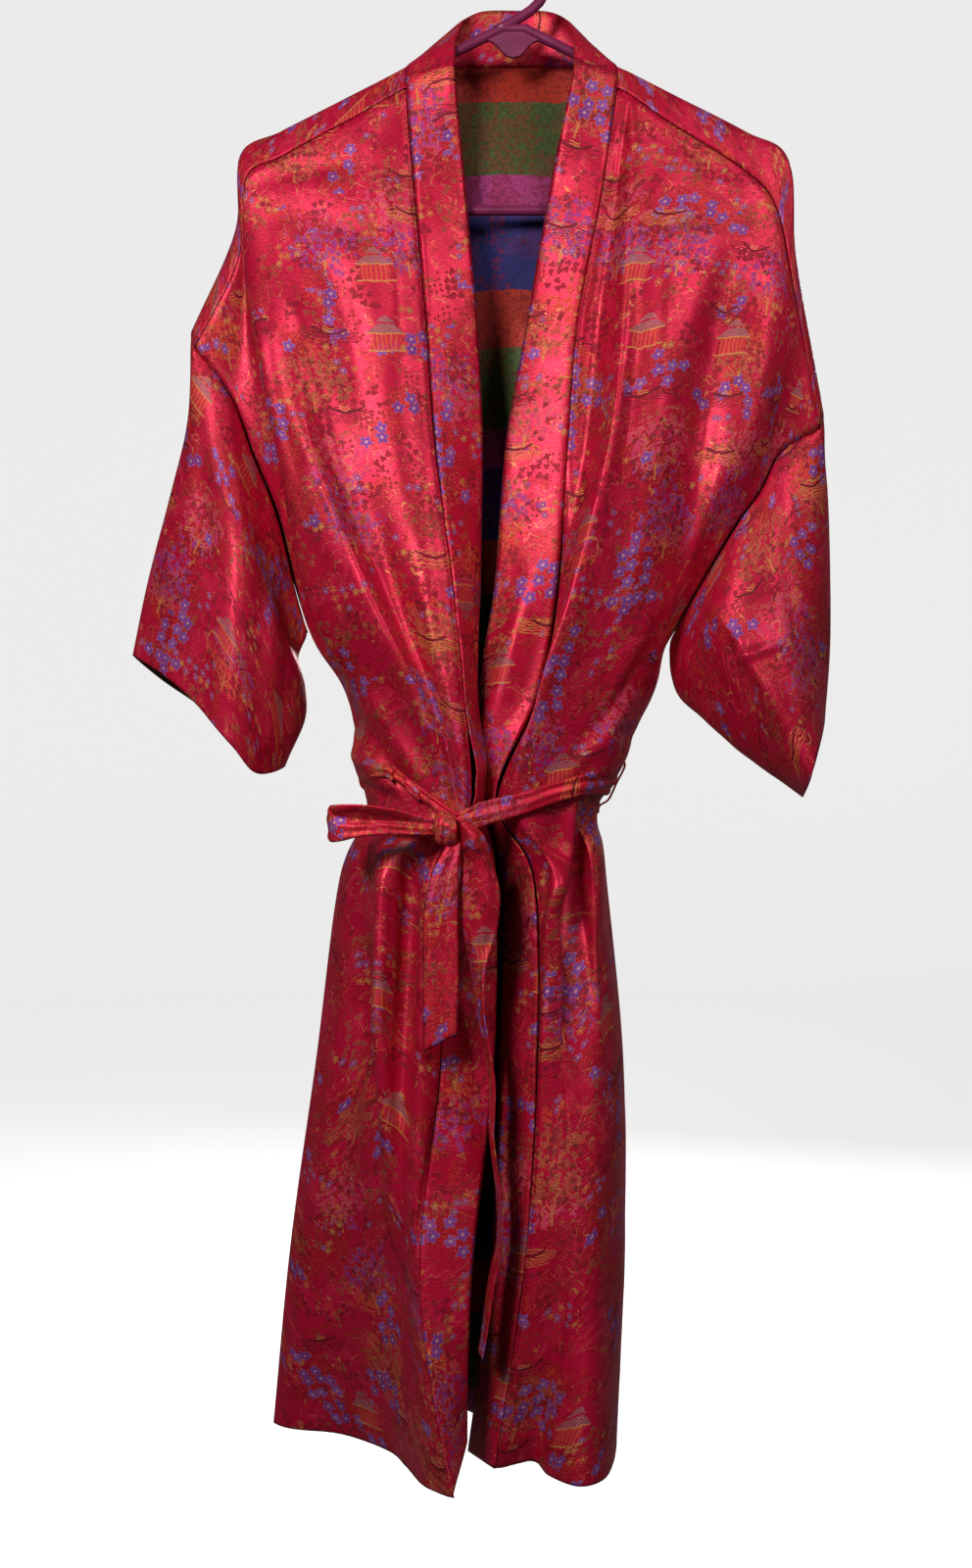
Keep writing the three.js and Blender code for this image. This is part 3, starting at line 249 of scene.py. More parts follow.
def repeats(tree, plane, cell, jitter=0.7):
    """Places one motif in each cell: its own coordinates, its middle and two random numbers."""
    cells = add(tree, VORONOI, {"Vector": plane, "Scale": 1 / cell, "Randomness": jitter},
                voronoi_dimensions="2D")
    own = add(tree, "ShaderNodeVectorMath", {0: plane, 1: cells.outputs["Position"]}, operation="SUBTRACT")
    chance = add(tree, "ShaderNodeSeparateColor", {0: cells.outputs["Color"]})
    return own, cells.outputs["Position"], chance.outputs[0], chance.outputs[1]


def blossom(tree, plane, petals, cell, radius, cluster, least, jitter=0.6):
    """Blossoms or lobed leaves in clusters: inside, rim, heart and a random number."""
    own, middle, spin, chance = repeats(tree, plane, cell, jitter)
    axes = add(tree, "ShaderNodeSeparateXYZ", {0: own})
    angle = add(tree, MATH, {0: axes.outputs[1], 1: axes.outputs[0]}, operation="ARCTAN2")
    reach = add(tree, "ShaderNodeVectorMath", {0: own}, operation="LENGTH").outputs["Value"]
    spun = add(tree, MATH, {0: spin, 1: 9.0}, operation="MULTIPLY")
    turned = add(tree, MATH, {0: angle, 1: petals / 2, 2: spun}, operation="MULTIPLY_ADD")
    lobe = add(tree, MATH, {0: add(tree, MATH, {0: turned}, operation="COSINE")}, operation="ABSOLUTE")
    edge = add(tree, MATH, {0: lobe, 1: 0.5 * radius, 2: 0.5 * radius}, operation="MULTIPLY_ADD")
    share = add(tree, MATH, {0: reach, 1: edge}, operation="DIVIDE")
    crowd = add(tree, NOISE, {"Vector": middle, "Scale": 1 / cluster, "Detail": 1.0},
                noise_dimensions="2D").outputs[0]
    here = add(tree, MATH, {0: crowd, 1: least}, operation="GREATER_THAN")
    inside = product(tree, add(tree, MATH, {0: share, 1: 1.0}, operation="LESS_THAN"), here)
    rim = product(tree, inside, within(tree, share, 0.82, 1.0))
    heart = product(tree, inside, add(tree, MATH, {0: reach, 1: 0.24 * radius}, operation="LESS_THAN"))
    return inside, rim, heart, chance


def brocade(name, shift, ground="#CE1440", deep="#AE0C2C"):
    material, tree = new_material(name)
    cut = add(tree, "ShaderNodeUVMap", uv_map="cut")
    true = add(tree, "ShaderNodeMapping", {"Vector": cut, "Location": shift, "Scale": (1000, 1000, 1)})
    wander = add(tree, NOISE, {"Vector": true, "Scale": 0.12, "Detail": 1.0}, noise_dimensions="2D")
    plane = add(tree, "ShaderNodeVectorMath", {0: wander.outputs["Color"], 1: (2.2, 2.2, 0), 2: true},
                operation="MULTIPLY_ADD")
    axes = add(tree, "ShaderNodeSeparateXYZ", {0: plane})

    # Wefts: level bands of khaki, pink, blue and orange, and gold everywhere.
    phase = add(tree, MATH, {0: axes.outputs[1], 1: -1 / WEFT_REPEAT, 2: 10 - 74 / WEFT_REPEAT},
                operation="MULTIPLY_ADD")
    phase = add(tree, MATH, {0: phase}, operation="FRACT")
    weft = ramp(tree, phase, [(0.0, "#9C6238"), (0.28, "#9C6238"), (0.34, "#E2557F"), (0.46, "#D8477A"),
                              (0.5, "#5A4BA6"), (0.73, "#4B45A0"), (0.8, "#E0561F"), (0.97, "#D9531E")])
    blue_near = add(tree, "ShaderNodeMapRange", {
        "Value": add(tree, MATH, {0: add(tree, MATH, {0: phase, 1: 0.62}, operation="SUBTRACT")},
                     operation="ABSOLUTE"), 1: 0.1, 2: 0.3, 3: 0.0, 4: 0.13})

    # Ground: satin with slow changes of tone and a faint damask of darker lines.
    tone = add(tree, NOISE, {"Vector": plane, "Scale": 0.016, "Detail": 3.0}, noise_dimensions="2D")
    colour = add(tree, "ShaderNodeMix", {0: tone, 6: linear(deep), 7: linear(ground)}, data_type="RGBA")
    colour = colour.outputs[2]
    contour = add(tree, NOISE, {"Vector": plane, "Scale": 0.034, "Detail": 2.0}, noise_dimensions="2D")
    lines = add(tree, MATH, {0: contour, 1: 17.0}, operation="MULTIPLY")
    lines = add(tree, MATH, {0: lines}, operation="FRACT")
    lines = product(tree, within(tree, lines, 0.0, 0.2), within(tree, contour, 0.42, 0.56))
    colour = over(tree, colour, "#7A0A18", product(tree, lines, 0.55))
    glow = within(tree, contour, 0.56, 0.7)
    colour = over(tree, colour, "#D8234A", product(tree, glow, 0.35))
    satin = colour

    # Orange foliage: scalloped patches with maroon lines.
    spread = add(tree, NOISE, {"Vector": plane, "Scale": 0.022, "Detail": 2.5, "Roughness": 0.62},
                 noise_dimensions="2D").outputs[0]
    patch = add(tree, "ShaderNodeMapRange", {"Value": spread, 1: 0.51, 2: 0.56, 3: 0.0, 4: 0.75})
    bright = add(tree, "ShaderNodeMapRange", {"Value": contour, 1: 0.4, 2: 0.55, 3: 0.85, 4: 0.15})
    scales = add(tree, VORONOI, {"Vector": plane, "Scale": 0.3, "Randomness": 0.9},
                 voronoi_dimensions="2D", feature="DISTANCE_TO_EDGE").outputs["Distance"]
    grains = add(tree, VORONOI, {"Vector": plane, "Scale": 0.62}, voronoi_dimensions="2D")
    grain = add(tree, "ShaderNodeSeparateColor", {0: grains.outputs["Color"]}).outputs[0]
    orange = ramp(tree, grain, [(0.0, "#B81F24"), (0.4, "#C82F22"), (0.75, "#DC4A26"), (1.0, "#C23C2C")],
                  "CONSTANT")
    scalloped = product(tree, patch, within(tree, grain, 0.22, 1.2), bright)
    colour = over(tree, colour, orange.outputs[0], scalloped)
    seams = add(tree, MATH, {0: scales, 1: 0.13}, operation="LESS_THAN")
    colour = over(tree, colour, "#6B0F16", product(tree, patch, seams, 0.75))
    raised = product(tree, patch, 0.5)

    # Little trees: a crown of stippled leaves in the band's weft, with a gold fan of branches.
    tree_own, _, tree_chance, _ = repeats(tree, plane, 74.0, 0.75)
    crown_axes = add(tree, "ShaderNodeSeparateXYZ", {0: tree_own})
    x, y = crown_axes.outputs[0], crown_axes.outputs[1]
    rough_edge = add(tree, NOISE, {"Vector": plane, "Scale": 0.11, "Detail": 3.0}, noise_dimensions="2D")
    size = add(tree, MATH, {0: rough_edge, 1: 46.0, 2: 3.0}, operation="MULTIPLY_ADD")
    reach = add(tree, "ShaderNodeVectorMath", {0: tree_own}, operation="LENGTH").outputs["Value"]
    grown = within(tree, tree_chance, 0.0, 0.62)
    crown = product(tree, add(tree, MATH, {0: reach, 1: size}, operation="LESS_THAN"), grown)
    leaf_in, leaf_rim, _, leaf_chance = blossom(tree, plane, 3, 5.4, 2.9, 30.0, 0.0, 0.9)
    colour = over(tree, colour, weft.outputs[0], product(tree, crown, leaf_in, 0.55))
    pale = product(tree, crown, leaf_rim, within(tree, leaf_chance, 0.0, 0.4), 0.6)
    colour = over(tree, colour, "#C98F54", pale)
    dark = product(tree, crown, leaf_in, within(tree, leaf_chance, 0.85, 1.0), 0.8)
    colour = over(tree, colour, "#4A1614", dark)
    low = add(tree, MATH, {0: y, 1: 21.0}, operation="ADD")
    fan = add(tree, MATH, {0: x, 1: low}, operation="ARCTAN2")
    bent = add(tree, MATH, {0: rough_edge, 1: 5.0}, operation="MULTIPLY")
    fan = add(tree, MATH, {0: fan, 1: 6.5, 2: bent}, operation="MULTIPLY_ADD")
    fan = add(tree, MATH, {0: add(tree, MATH, {0: fan}, operation="SINE")}, operation="ABSOLUTE")
    thin = add(tree, MATH, {0: 1.5, 1: add(tree, "ShaderNodeVectorMath", {
        0: add(tree, "ShaderNodeCombineXYZ", {0: x, 1: low})}, operation="LENGTH").outputs["Value"]},
        operation="DIVIDE")
    branch = product(tree, add(tree, MATH, {0: fan, 1: thin}, operation="LESS_THAN"), grown,
                     within(tree, low, 1.0, 30.0), within(tree, reach, -1.0, 21.0))
    trunk = product(tree, within(tree, x, -0.9, 0.9), within(tree, low, -8.0, 5.0), grown)
    gold = add(tree, MATH, {0: branch, 1: trunk}, operation="MAXIMUM")
    colour = over(tree, colour, "#CF934A", product(tree, gold, 0.75))
    raised = add(tree, MATH, {0: raised, 1: add(tree, MATH, {0: gold, 1: product(tree, crown, leaf_in)},
                                                operation="MAXIMUM")}, operation="MAXIMUM")

    # Fine gold tendrils between them.
    vein = add(tree, NOISE, {"Vector": plane, "Scale": 0.075, "Detail": 2.0, "Distortion": 0.6},
               noise_dimensions="2D").outputs[0]
    tendril = product(tree, within(tree, vein, 0.482, 0.498), within(tree, contour, 0.47, 0.7))
    colour = over(tree, colour, "#C98B48", product(tree, tendril, 0.7))

    # Dark three-lobed leaves and small khaki ones, in drifts.
    for petals, cell, radius, cluster, least, fill, rim_colour in (
            (3, 6.4, 2.8, 26.0, 0.63, "#5A0F1A", "#7E1A1E"),
            (3, 6.6, 2.5, 34.0, 0.66, "#7A4A28", "#B07A44"),
            (4, 4.6, 1.6, 22.0, 0.6, "#7A1A1A", "#C2522A")):
        inside, rim, _, _ = blossom(tree, plane, petals, cell, radius, cluster, least)
        colour = over(tree, colour, fill, product(tree, inside, 0.7))
        colour = over(tree, colour, rim_colour, product(tree, rim, 0.6))
        raised = add(tree, MATH, {0: raised, 1: inside}, operation="MAXIMUM")

    # Small blossoms in sprays, lilac or orange, and the large blue ones with cream rims.
    inside, rim, heart, chance = blossom(tree, plane, 5, 7.6, 3.0, 32.0, 0.66)
    petal = ramp(tree, chance, [(0.0, "#6A459A"), (0.45, "#C4502C"), (0.8, "#B8763E")], "CONSTANT")
    colour = over(tree, colour, petal.outputs[0], product(tree, inside, 0.85))
    colour = over(tree, colour, "#D0A468", add(tree, MATH, {0: product(tree, rim, 0.35), 1: heart},
                                               operation="MAXIMUM"))
    raised = add(tree, MATH, {0: raised, 1: inside}, operation="MAXIMUM")
    least = add(tree, MATH, {0: 0.745, 1: blue_near}, operation="SUBTRACT")
    inside, rim, heart, chance = blossom(tree, plane, 5, 11.6, 5.3, 46.0, least, 0.5)
    petal = ramp(tree, chance, [(0.0, "#55429C"), (0.4, "#6650A6"), (0.7, "#483A90"), (0.9, "#7A529E")],
                 "CONSTANT")
    colour = over(tree, colour, petal.outputs[0], inside)
    colour = over(tree, colour, "#B08CB0", product(tree, rim, 0.35))
    colour = over(tree, colour, "#C9A0A4", product(tree, heart, 0.8))
    raised = add(tree, MATH, {0: raised, 1: inside}, operation="MAXIMUM")

    # Pavilions: hatched roof in two tiers, striped walls and a gold sill.
    own, _, there, _ = repeats(tree, plane, 104.0, 0.7)
    hut = add(tree, "ShaderNodeSeparateXYZ", {0: own})
    x, y = hut.outputs[0], hut.outputs[1]
    wide = add(tree, MATH, {0: x}, operation="ABSOLUTE")
    stands = within(tree, there, 0.0, 0.6)
    sloping = add(tree, MATH, {0: y, 1: 1.25, 2: wide}, operation="MULTIPLY_ADD")
    lower = add(tree, MATH, {0: sloping, 1: 18.5}, operation="LESS_THAN")
    lower = product(tree, within(tree, y, 3.0, 10.0), lower)
    upper = add(tree, MATH, {0: sloping, 1: 22.0}, operation="LESS_THAN")
    upper = product(tree, within(tree, y, 11.5, 16.0), upper)
    roof = product(tree, add(tree, MATH, {0: lower, 1: upper}, operation="MAXIMUM"), stands)
    slats = within(tree, add(tree, MATH, {0: add(tree, MATH, {0: sloping, 1: 0.42}, operation="MULTIPLY")},
                             operation="FRACT"), 0.0, 0.42)
    walls = product(tree, within(tree, y, -10.0, 2.2), within(tree, x, -10.5, 10.5), stands)
    bars = within(tree, add(tree, MATH, {0: add(tree, MATH, {0: x, 1: 0.29}, operation="MULTIPLY")},
                            operation="FRACT"), 0.0, 0.36)
    sill = product(tree, add(tree, MATH, {0: within(tree, y, 2.0, 3.2), 1: within(tree, y, -11.4, -10.0)},
                             operation="MAXIMUM"), within(tree, x, -14.5, 14.5), stands)
    colour = over(tree, colour, "#B08A66", product(tree, roof, 0.6))
    colour = over(tree, colour, "#4A3276", product(tree, roof, slats, 0.8))
    colour = over(tree, colour, "#C82A3A", product(tree, walls, 0.8))
    colour = over(tree, colour, "#D2702F", product(tree, walls, bars, 0.6))
    colour = over(tree, colour, "#CF964A", product(tree, sill, 0.8))
    built = add(tree, MATH, {0: roof, 1: add(tree, MATH, {0: walls, 1: sill}, operation="MAXIMUM")},
                operation="MAXIMUM")
    raised = add(tree, MATH, {0: raised, 1: built}, operation="MAXIMUM")

    # Boats on bundles of wave lines.
    own, _, there, hue = repeats(tree, plane, 66.0, 0.8)
    sea = add(tree, "ShaderNodeSeparateXYZ", {0: own})
    x, y = sea.outputs[0], sea.outputs[1]
    afloat = within(tree, there, 0.0, 0.5)
    lens = add(tree, "ShaderNodeVectorMath", {0: own, 1: (1 / 22, 1 / 7.5, 0)}, operation="MULTIPLY")
    lens = add(tree, "ShaderNodeVectorMath", {0: lens}, operation="LENGTH").outputs["Value"]
    swell = add(tree, MATH, {0: rough_edge, 1: 3.0}, operation="MULTIPLY")
    rows = add(tree, MATH, {0: y, 1: 0.44, 2: swell}, operation="MULTIPLY_ADD")
    rows = within(tree, add(tree, MATH, {0: rows}, operation="FRACT"), 0.0, 0.34)
    water = product(tree, add(tree, MATH, {0: lens, 1: 1.0}, operation="LESS_THAN"), rows, afloat)
    colour = over(tree, colour, "#5E1018", product(tree, water, within(tree, hue, 0.0, 0.55), 0.9))
    colour = over(tree, colour, "#D08A3E", product(tree, water, within(tree, hue, 0.55, 1.0), 0.9))
    arc = add(tree, MATH, {0: x, 1: x}, operation="MULTIPLY")
    arc = add(tree, MATH, {0: arc, 1: -0.026, 2: y}, operation="MULTIPLY_ADD")
    hull = product(tree, within(tree, arc, 0.6, 2.6), within(tree, x, -13.0, 13.0), afloat)
    cabin = product(tree, within(tree, arc, 2.6, 6.4), within(tree, x, -5.0, 3.0), rows, afloat)
    colour = over(tree, colour, "#3D1216", hull)
    colour = over(tree, colour, "#C99A52", cabin)
    raised = add(tree, MATH, {0: raised, 1: add(tree, MATH, {0: water, 1: hull}, operation="MAXIMUM")},
                 operation="MAXIMUM")

    # The fine wefts sink between the satin's threads, which show through every motif.
    colour = add(tree, "ShaderNodeMix", {0: 0.74, 6: satin, 7: colour}, data_type="RGBA").outputs[2]
    return material, tree, true, plane, phase, colour, raised


def woven(tree, true, colour, raised, gloss, matte):
    """Threads, stitch lines and the shader that every side of the brocade shares."""
    thread = add(tree, "ShaderNodeMapping", {"Vector": true, "Scale": (0.22, 1.5, 1)})
    thread = add(tree, NOISE, {"Vector": thread, "Scale": 1.0, "Detail": 2.0},
                 noise_dimensions="2D").outputs[0]
    shade = add(tree, "ShaderNodeMapRange", {"Value": thread, 1: 0.25, 2: 0.75, 3: 0.72, 4: 1.22})
    colour = add(tree, "ShaderNodeVectorMath", {0: colour, "Scale": shade}, operation="SCALE").outputs[0]
    trim = add(tree, "ShaderNodeUVMap", uv_map="trim")
    edges = add(tree, "ShaderNodeSeparateXYZ", {0: trim})
    flat = add(tree, "ShaderNodeSeparateXYZ", {0: true})
    hem_dash = add(tree, MATH, {0: add(tree, MATH, {0: flat.outputs[0], 1: 1 / 4.2}, operation="MULTIPLY")},
                   operation="FRACT")
    seam_dash = add(tree, MATH, {0: add(tree, MATH, {0: flat.outputs[1], 1: 1 / 4.2}, operation="MULTIPLY")},
                    operation="FRACT")
    stitch = add(tree, MATH, {
        0: product(tree, within(tree, edges.outputs[0], 0.0277, 0.0285), within(tree, hem_dash, 0.0, 0.7)),
        1: product(tree, within(tree, edges.outputs[1], 0.0026, 0.0033), within(tree, seam_dash, 0.0, 0.7))},
        operation="MAXIMUM")
    colour = over(tree, colour, "#6E0718", product(tree, stitch, 0.8))
    rough = add(tree, "ShaderNodeMapRange", {"Value": raised, 3: gloss, 4: matte})
    height = add(tree, MATH, {0: raised, 1: 0.5, 2: thread}, operation="MULTIPLY_ADD")
    height = add(tree, MATH, {0: height, 1: stitch}, operation="SUBTRACT")
    bump = add(tree, "ShaderNodeBump", {"Strength": 0.45, "Distance": 0.0003, "Height": height})
    shader = add(tree, "ShaderNodeBsdfPrincipled", {
        "Base Color": colour, "Roughness": rough, "Normal": bump, "Specular IOR Level": 0.2, "Metallic": 0.3,
        "Sheen Weight": 0.02, "Sheen Roughness": 0.4, "Sheen Tint": linear("#FF9DB4")})
    add(tree, "ShaderNodeOutputMaterial", {"Surface": shader})


def right_side(name, shift, ground="#CE1440", deep="#AE0C2C"):
    material, tree, true, _, _, colour, raised = brocade(name, shift, ground, deep)
    woven(tree, true, colour, raised, 0.36, 0.55)
    return material


satin_brocade = right_side("satin_brocade", (0, 0, 0))
band_brocade = right_side("satin_brocade_neckband", (31, 240, 0), "#D0163F", "#B40E30")
sash_brocade = right_side("satin_brocade_sash", (12, 47, 0), "#D0163A", "#B8182A")

# The wrong side: each weft floats in its own level band, duller, motifs in reverse, painted shade in dark
# patches.
wrong_brocade, tree, true, plane, phase, colour, raised = brocade("satin_brocade_wrong_side", (0, 0, 0))
floats = ramp(tree, phase, [(0.0, "#47542A"), (0.32, "#A0356F"), (0.48, "#2B2764"), (0.77, "#A82E1E")],
              "CONSTANT")
mottle = add(tree, NOISE, {"Vector": plane, "Scale": 0.3, "Detail": 3.0}, noise_dimensions="2D").outputs[0]
colour = over(tree, floats.outputs[0], "#7C1622", product(tree, raised, 0.45))
# Painted shade: near-black brown laid over the wrong side in random patches, for the shade inside the robe.
painted_shade_patches = add(tree, "ShaderNodeMapRange", {"Value": mottle, 1: 0.45, 2: 0.75, 4: 0.45})
colour = over(tree, colour, "#1C120E", painted_shade_patches)
woven(tree, true, colour, raised, 0.42, 0.6)

# ---------------------------------------------------------------- front, viewer's left
# Cut in one piece from the shoulder seam to the hem, it hangs open from the neckband and folds
# under itself at the side. Fold lines run from the band's seam out to the side seam.
LEVELS = np.array([0, 130, 230, 330, 440, 520, 600, 660, 800, 950, 1101.0])
SLOPES = np.array([1, 0.75, 0.5, 0.25, 0.14, 0, 0, 0, 0, 0, 0.0])
NECK_TOP = 45.0
UNDERARM = 4
LEFT_FRONT = [  # top of the fold at the shoulder seam, u across and y deep at each level, mm
    (53, [-83, -76, -67, -60, -46, -38, -32, -51, -56, -73, -47],
     [-13, -22, -34, -46, -62, -72, -70, -62, -64, -84, -104]),
    (63, [-101, -101, -98, -90, -67, -50, -39, -64, -71, -77, -59],
     [-13, -27, -44, -56, -68, -76, -73, -68, -74, -78, -92]),
    (76, [-124, -130, -147, -136, -97, -64, -46, -75, -86, -83, -71],
     [-13, -28, -42, -50, -57, -64, -66, -56, -64, -60, -75]),
    (92, [-154, -158, -170, -156, -112, -76, -56, -98, -105, -94, -83],
     [-13, -27, -46, -66, -75, -76, -68, -66, -70, -40, -38]),
    (107, [-181, -185, -187, -170, -139, -100, -79, -111, -117, -113, -97],
     [-13, -25, -47, -62, -62, -58, -56, -52, -52, -22, -4]),
    (123, [-207, -207, -197, -181, -160, -120, -99, -119, -120, -136, -132],
     [-13, -20, -42, -52, -46, -36, -36, -30, -26, -6, 34]),
    (185, [-213, -205, -186, -170, -148, -124, -109, -128, -138, -158, -170],
     [-12, -6, -14, -18, -16, -10, -14, -16, -14, 6, 46]),
    (252, [-247, -219, -200, -181, -158, -129, -113, -135, -153, -173, -186],
     [-9, -4, 0, 4, 10, 12, 5, 8, 12, 28, 62]),
]
SEAM_DIP = 1.3  # how far a seam draws the cloth in, mm
EYE_ACROSS, EYE_AWAY = -21, 1500.0  # the camera's place and its distance from the hanger's plane, mm


def place(u, drop, y):
    reach = (EYE_AWAY + np.asarray(y, float)) / EYE_AWAY
    u, drop, y = np.broadcast_arrays(np.asarray(u, float), drop, y)
    return np.stack([EYE_ACROSS + (u - EYE_ACROSS) * reach, y * 1.0, -HOOK_DROP - drop], axis=-1)


def level_drop(level, top):
    return top if level == 0 else LEVELS[level] + (top - NECK_TOP) * SLOPES[level]


def along(points, at, closed=False):
    """Smooth line through points, the first axis of an array, at fractional places."""
    points = np.asarray(points, float)
    at = np.asarray(at, float)
    count = len(points)
    if closed:
        start = np.floor(at).astype(int)
        padded, base = points, start
        pick = lambda k: padded[(base + k) % count]
    else:
        start = np.clip(np.floor(at).astype(int), 0, count - 2)
        padded = np.concatenate([[2 * points[0] - points[1]], points, [2 * points[-1] - points[-2]]])
        pick = lambda k: padded[start + k + 1]
    t = (at - start).reshape((-1,) + (1,) * (points.ndim - 1))
    before, one, two, after = pick(-1), pick(0), pick(1), pick(2)
    return 0.5 * ((-t ** 3 + 2 * t ** 2 - t) * before + (3 * t ** 3 - 5 * t ** 2 + 2) * one
                  + (-3 * t ** 3 + 4 * t ** 2 + t) * two + (t ** 3 - t ** 2) * after)


def even_levels(rows, first=0, last=10):
    """Fractional levels that lie evenly down the cloth."""
    drops = np.linspace(LEVELS[first], LEVELS[last], rows)
    return np.interp(drops, LEVELS, np.arange(11))


def fold_points(table):
    return np.array([[place(u[k], level_drop(k, top), y[k]) for k in range(11)] for top, u, y in table])


def fold_cloth(folds, levels, columns):
    """Rows of cloth between fold lines: folds is fold, level, xyz."""
    crossing = along(np.swapaxes(folds, 0, 1), levels)
    return np.swapaxes(along(np.swapaxes(crossing, 0, 1), columns), 0, 1)


def lengths(points, axis):
    step = np.linalg.norm(np.diff(points, axis=axis), axis=-1)
    first = np.zeros_like(np.take(step, [0], axis=axis))
    return np.concatenate([first, np.cumsum(step, axis=axis)], axis=axis)


def outward(points):
    down = np.gradient(points, axis=0)
    across = np.gradient(points, axis=1)
    normal = np.cross(down, across)
    return normal / np.maximum(np.linalg.norm(normal, axis=-1, keepdims=True), 1e-9)


def seen(points):
    """Where a point appears from the front, on the hanger's plane."""
    reach = (EYE_AWAY + points[..., 1]) / EYE_AWAY
    across = EYE_ACROSS + (points[..., 0] - EYE_ACROSS) / reach
    return np.stack([across, -HOOK_DROP - points[..., 2]], axis=-1)


def creases(spots, table):
    """Soft troughs and ridges, in mm: from, by way of, to, half width, height out of the cloth."""
    total = np.zeros(spots.shape[:-1])
    for start, middle, end, width, height in table:
        best = np.full(total.shape, 1e9)
        fade = np.zeros(total.shape)
        for part, (one, two) in enumerate(((start, middle), (middle, end))):
            one, two = np.array(one, float), np.array(two, float)
            run = two - one
            t = np.clip(((spots - one) @ run) / max(run @ run, 1e-9), 0, 1)
            away = np.linalg.norm(spots - one - t[..., None] * run, axis=-1)
            nearer = away < best
            best = np.where(nearer, away, best)
            fade = np.where(nearer, (part + t) / 2, fade)
        total += height * np.exp(-(best / width) ** 2) * np.clip(4 * fade * (1 - fade), 0.12, 1) ** 0.7
    return total


def crumple(spots, seed, size, height):
    """Slow unevenness that no cloth is without."""
    flat = spots.reshape(-1, 2)
    values = [noise.noise(Vector((u / size, v / (1.7 * size), seed))) for u, v in flat]
    return height * np.array(values).reshape(spots.shape[:-1])


MEETING = 0.00002  # metres apart at which points of neighbouring grids become one


def make_cloth(name, parts, thickness, materials=None):
    """Joins grids of cloth into one shell: points and cut in mm, distances from edges, turned over."""
    bm = bmesh.new()
    cut = bm.loops.layers.uv.new("cut")
    trim = bm.loops.layers.uv.new("trim")
    for points, flat, *more in parts:
        edges = more[0] if more else np.full(flat.shape, 900.0)
        turned = more[1] if len(more) > 1 else False
        rows, columns = points.shape[:2]
        made = bmesh.ops.create_grid(bm, x_segments=columns - 1, y_segments=rows - 1, size=1.0)["verts"]
        spot = {}
        for v in made:
            c = round((v.co.x + 1) / 2 * (columns - 1))
            r = round((1 - v.co.y) / 2 * (rows - 1))
            spot[v] = (r, c)
            v.co = points[r, c] / 1000
        faces = {f for v in made for f in v.link_faces}
        for face in faces:
            for loop in face.loops:
                loop[cut].uv = flat[spot[loop.vert]] / 1000
                loop[trim].uv = edges[spot[loop.vert]] / 1000
        if turned:
            bmesh.ops.reverse_faces(bm, faces=list(faces))
    bmesh.ops.remove_doubles(bm, verts=bm.verts, dist=MEETING)
    mesh = bpy.data.meshes.new(name)
    bm.to_mesh(mesh)
    bm.free()
    mesh.polygons.foreach_set("use_smooth", [True] * len(mesh.polygons))
    for material in materials or (satin_brocade, wrong_brocade):
        mesh.materials.append(material)
    piece = bpy.data.objects.new(name, mesh)
    bpy.context.scene.collection.objects.link(piece)
    if thickness:
        wall = piece.modifiers.new("thickness", "SOLIDIFY")
        wall.thickness = thickness / 1000
        wall.offset = -1
        wall.material_offset = 1
        wall.material_offset_rim = 0
    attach(piece, "root")
    return piece


FRONT_COLUMNS = np.linspace(0, 7, 113)
FRONT_ROWS = 381
LEFT_CREASES = [
    ((-205, 128), (-160, 118), (-120, 112), 9, -1.6),
    ((-196, 150), (-150, 158), (-110, 172), 12, -1.5),
    ((-185, 210), (-150, 260), (-128, 330), 10, 2.2),
    ((-150, 180), (-128, 240), (-112, 310), 9, -2.2),
    ((-98, 110), (-92, 190), (-86, 270), 8, 2.0),
    ((-170, 330), (-148, 380), (-126, 430), 8, -2.4),
    ((-110, 380), (-92, 440), (-74, 505), 7, -2.0),
    ((-70, 440), (-60, 500), (-50, 560), 5, 1.8),
    ((-118, 505), (-96, 545), (-70, 588), 5, 3.4),
    ((-124, 530), (-104, 560), (-78, 594), 5, -3.6),
    ((-122, 556), (-104, 573), (-84, 598), 4, 3.2),
    ((-100, 500), (-82, 540), (-62, 580), 6, -3.4),
    ((-118, 585), (-104, 590), (-88, 604), 4, -2.8),
    ((-112, 625), (-117, 760), (-104, 900), 6, -8.5),
    ((-100, 620), (-105, 760), (-92, 900), 6, 5.0),
    ((-80, 622), (-81, 690), (-88, 830), 6, -7.0),
    ((-68, 622), (-69, 700), (-71, 800), 4, 3.4),
    ((-56, 628), (-58, 690), (-60, 780), 4, -3.6),
    ((-120, 700), (-126, 800), (-136, 900), 9, -2.6),
    ((-94, 820), (-92, 900), (-84, 980), 7, 2.0),
    ((-142, 900), (-152, 980), (-160, 1070), 10, -2.4),
    ((-66, 900), (-62, 980), (-58, 1060), 6, -2.0),
]


def edge_dips(points, columns, rows, across, down):
    """Draws the cloth in beside the seams named: across and down are lengths in mm."""
    dip = np.zeros(points.shape[:2])
    for side, length in columns:
        away = across if side == 0 else across[:, -1:] - across
        dip -= SEAM_DIP * length * np.exp(-(away / 3.2) ** 2)
    for side, length in rows:
        away = down if side == 0 else down[-1:] - down
        dip -= SEAM_DIP * length * np.exp(-(away / 3.2) ** 2)
    return dip


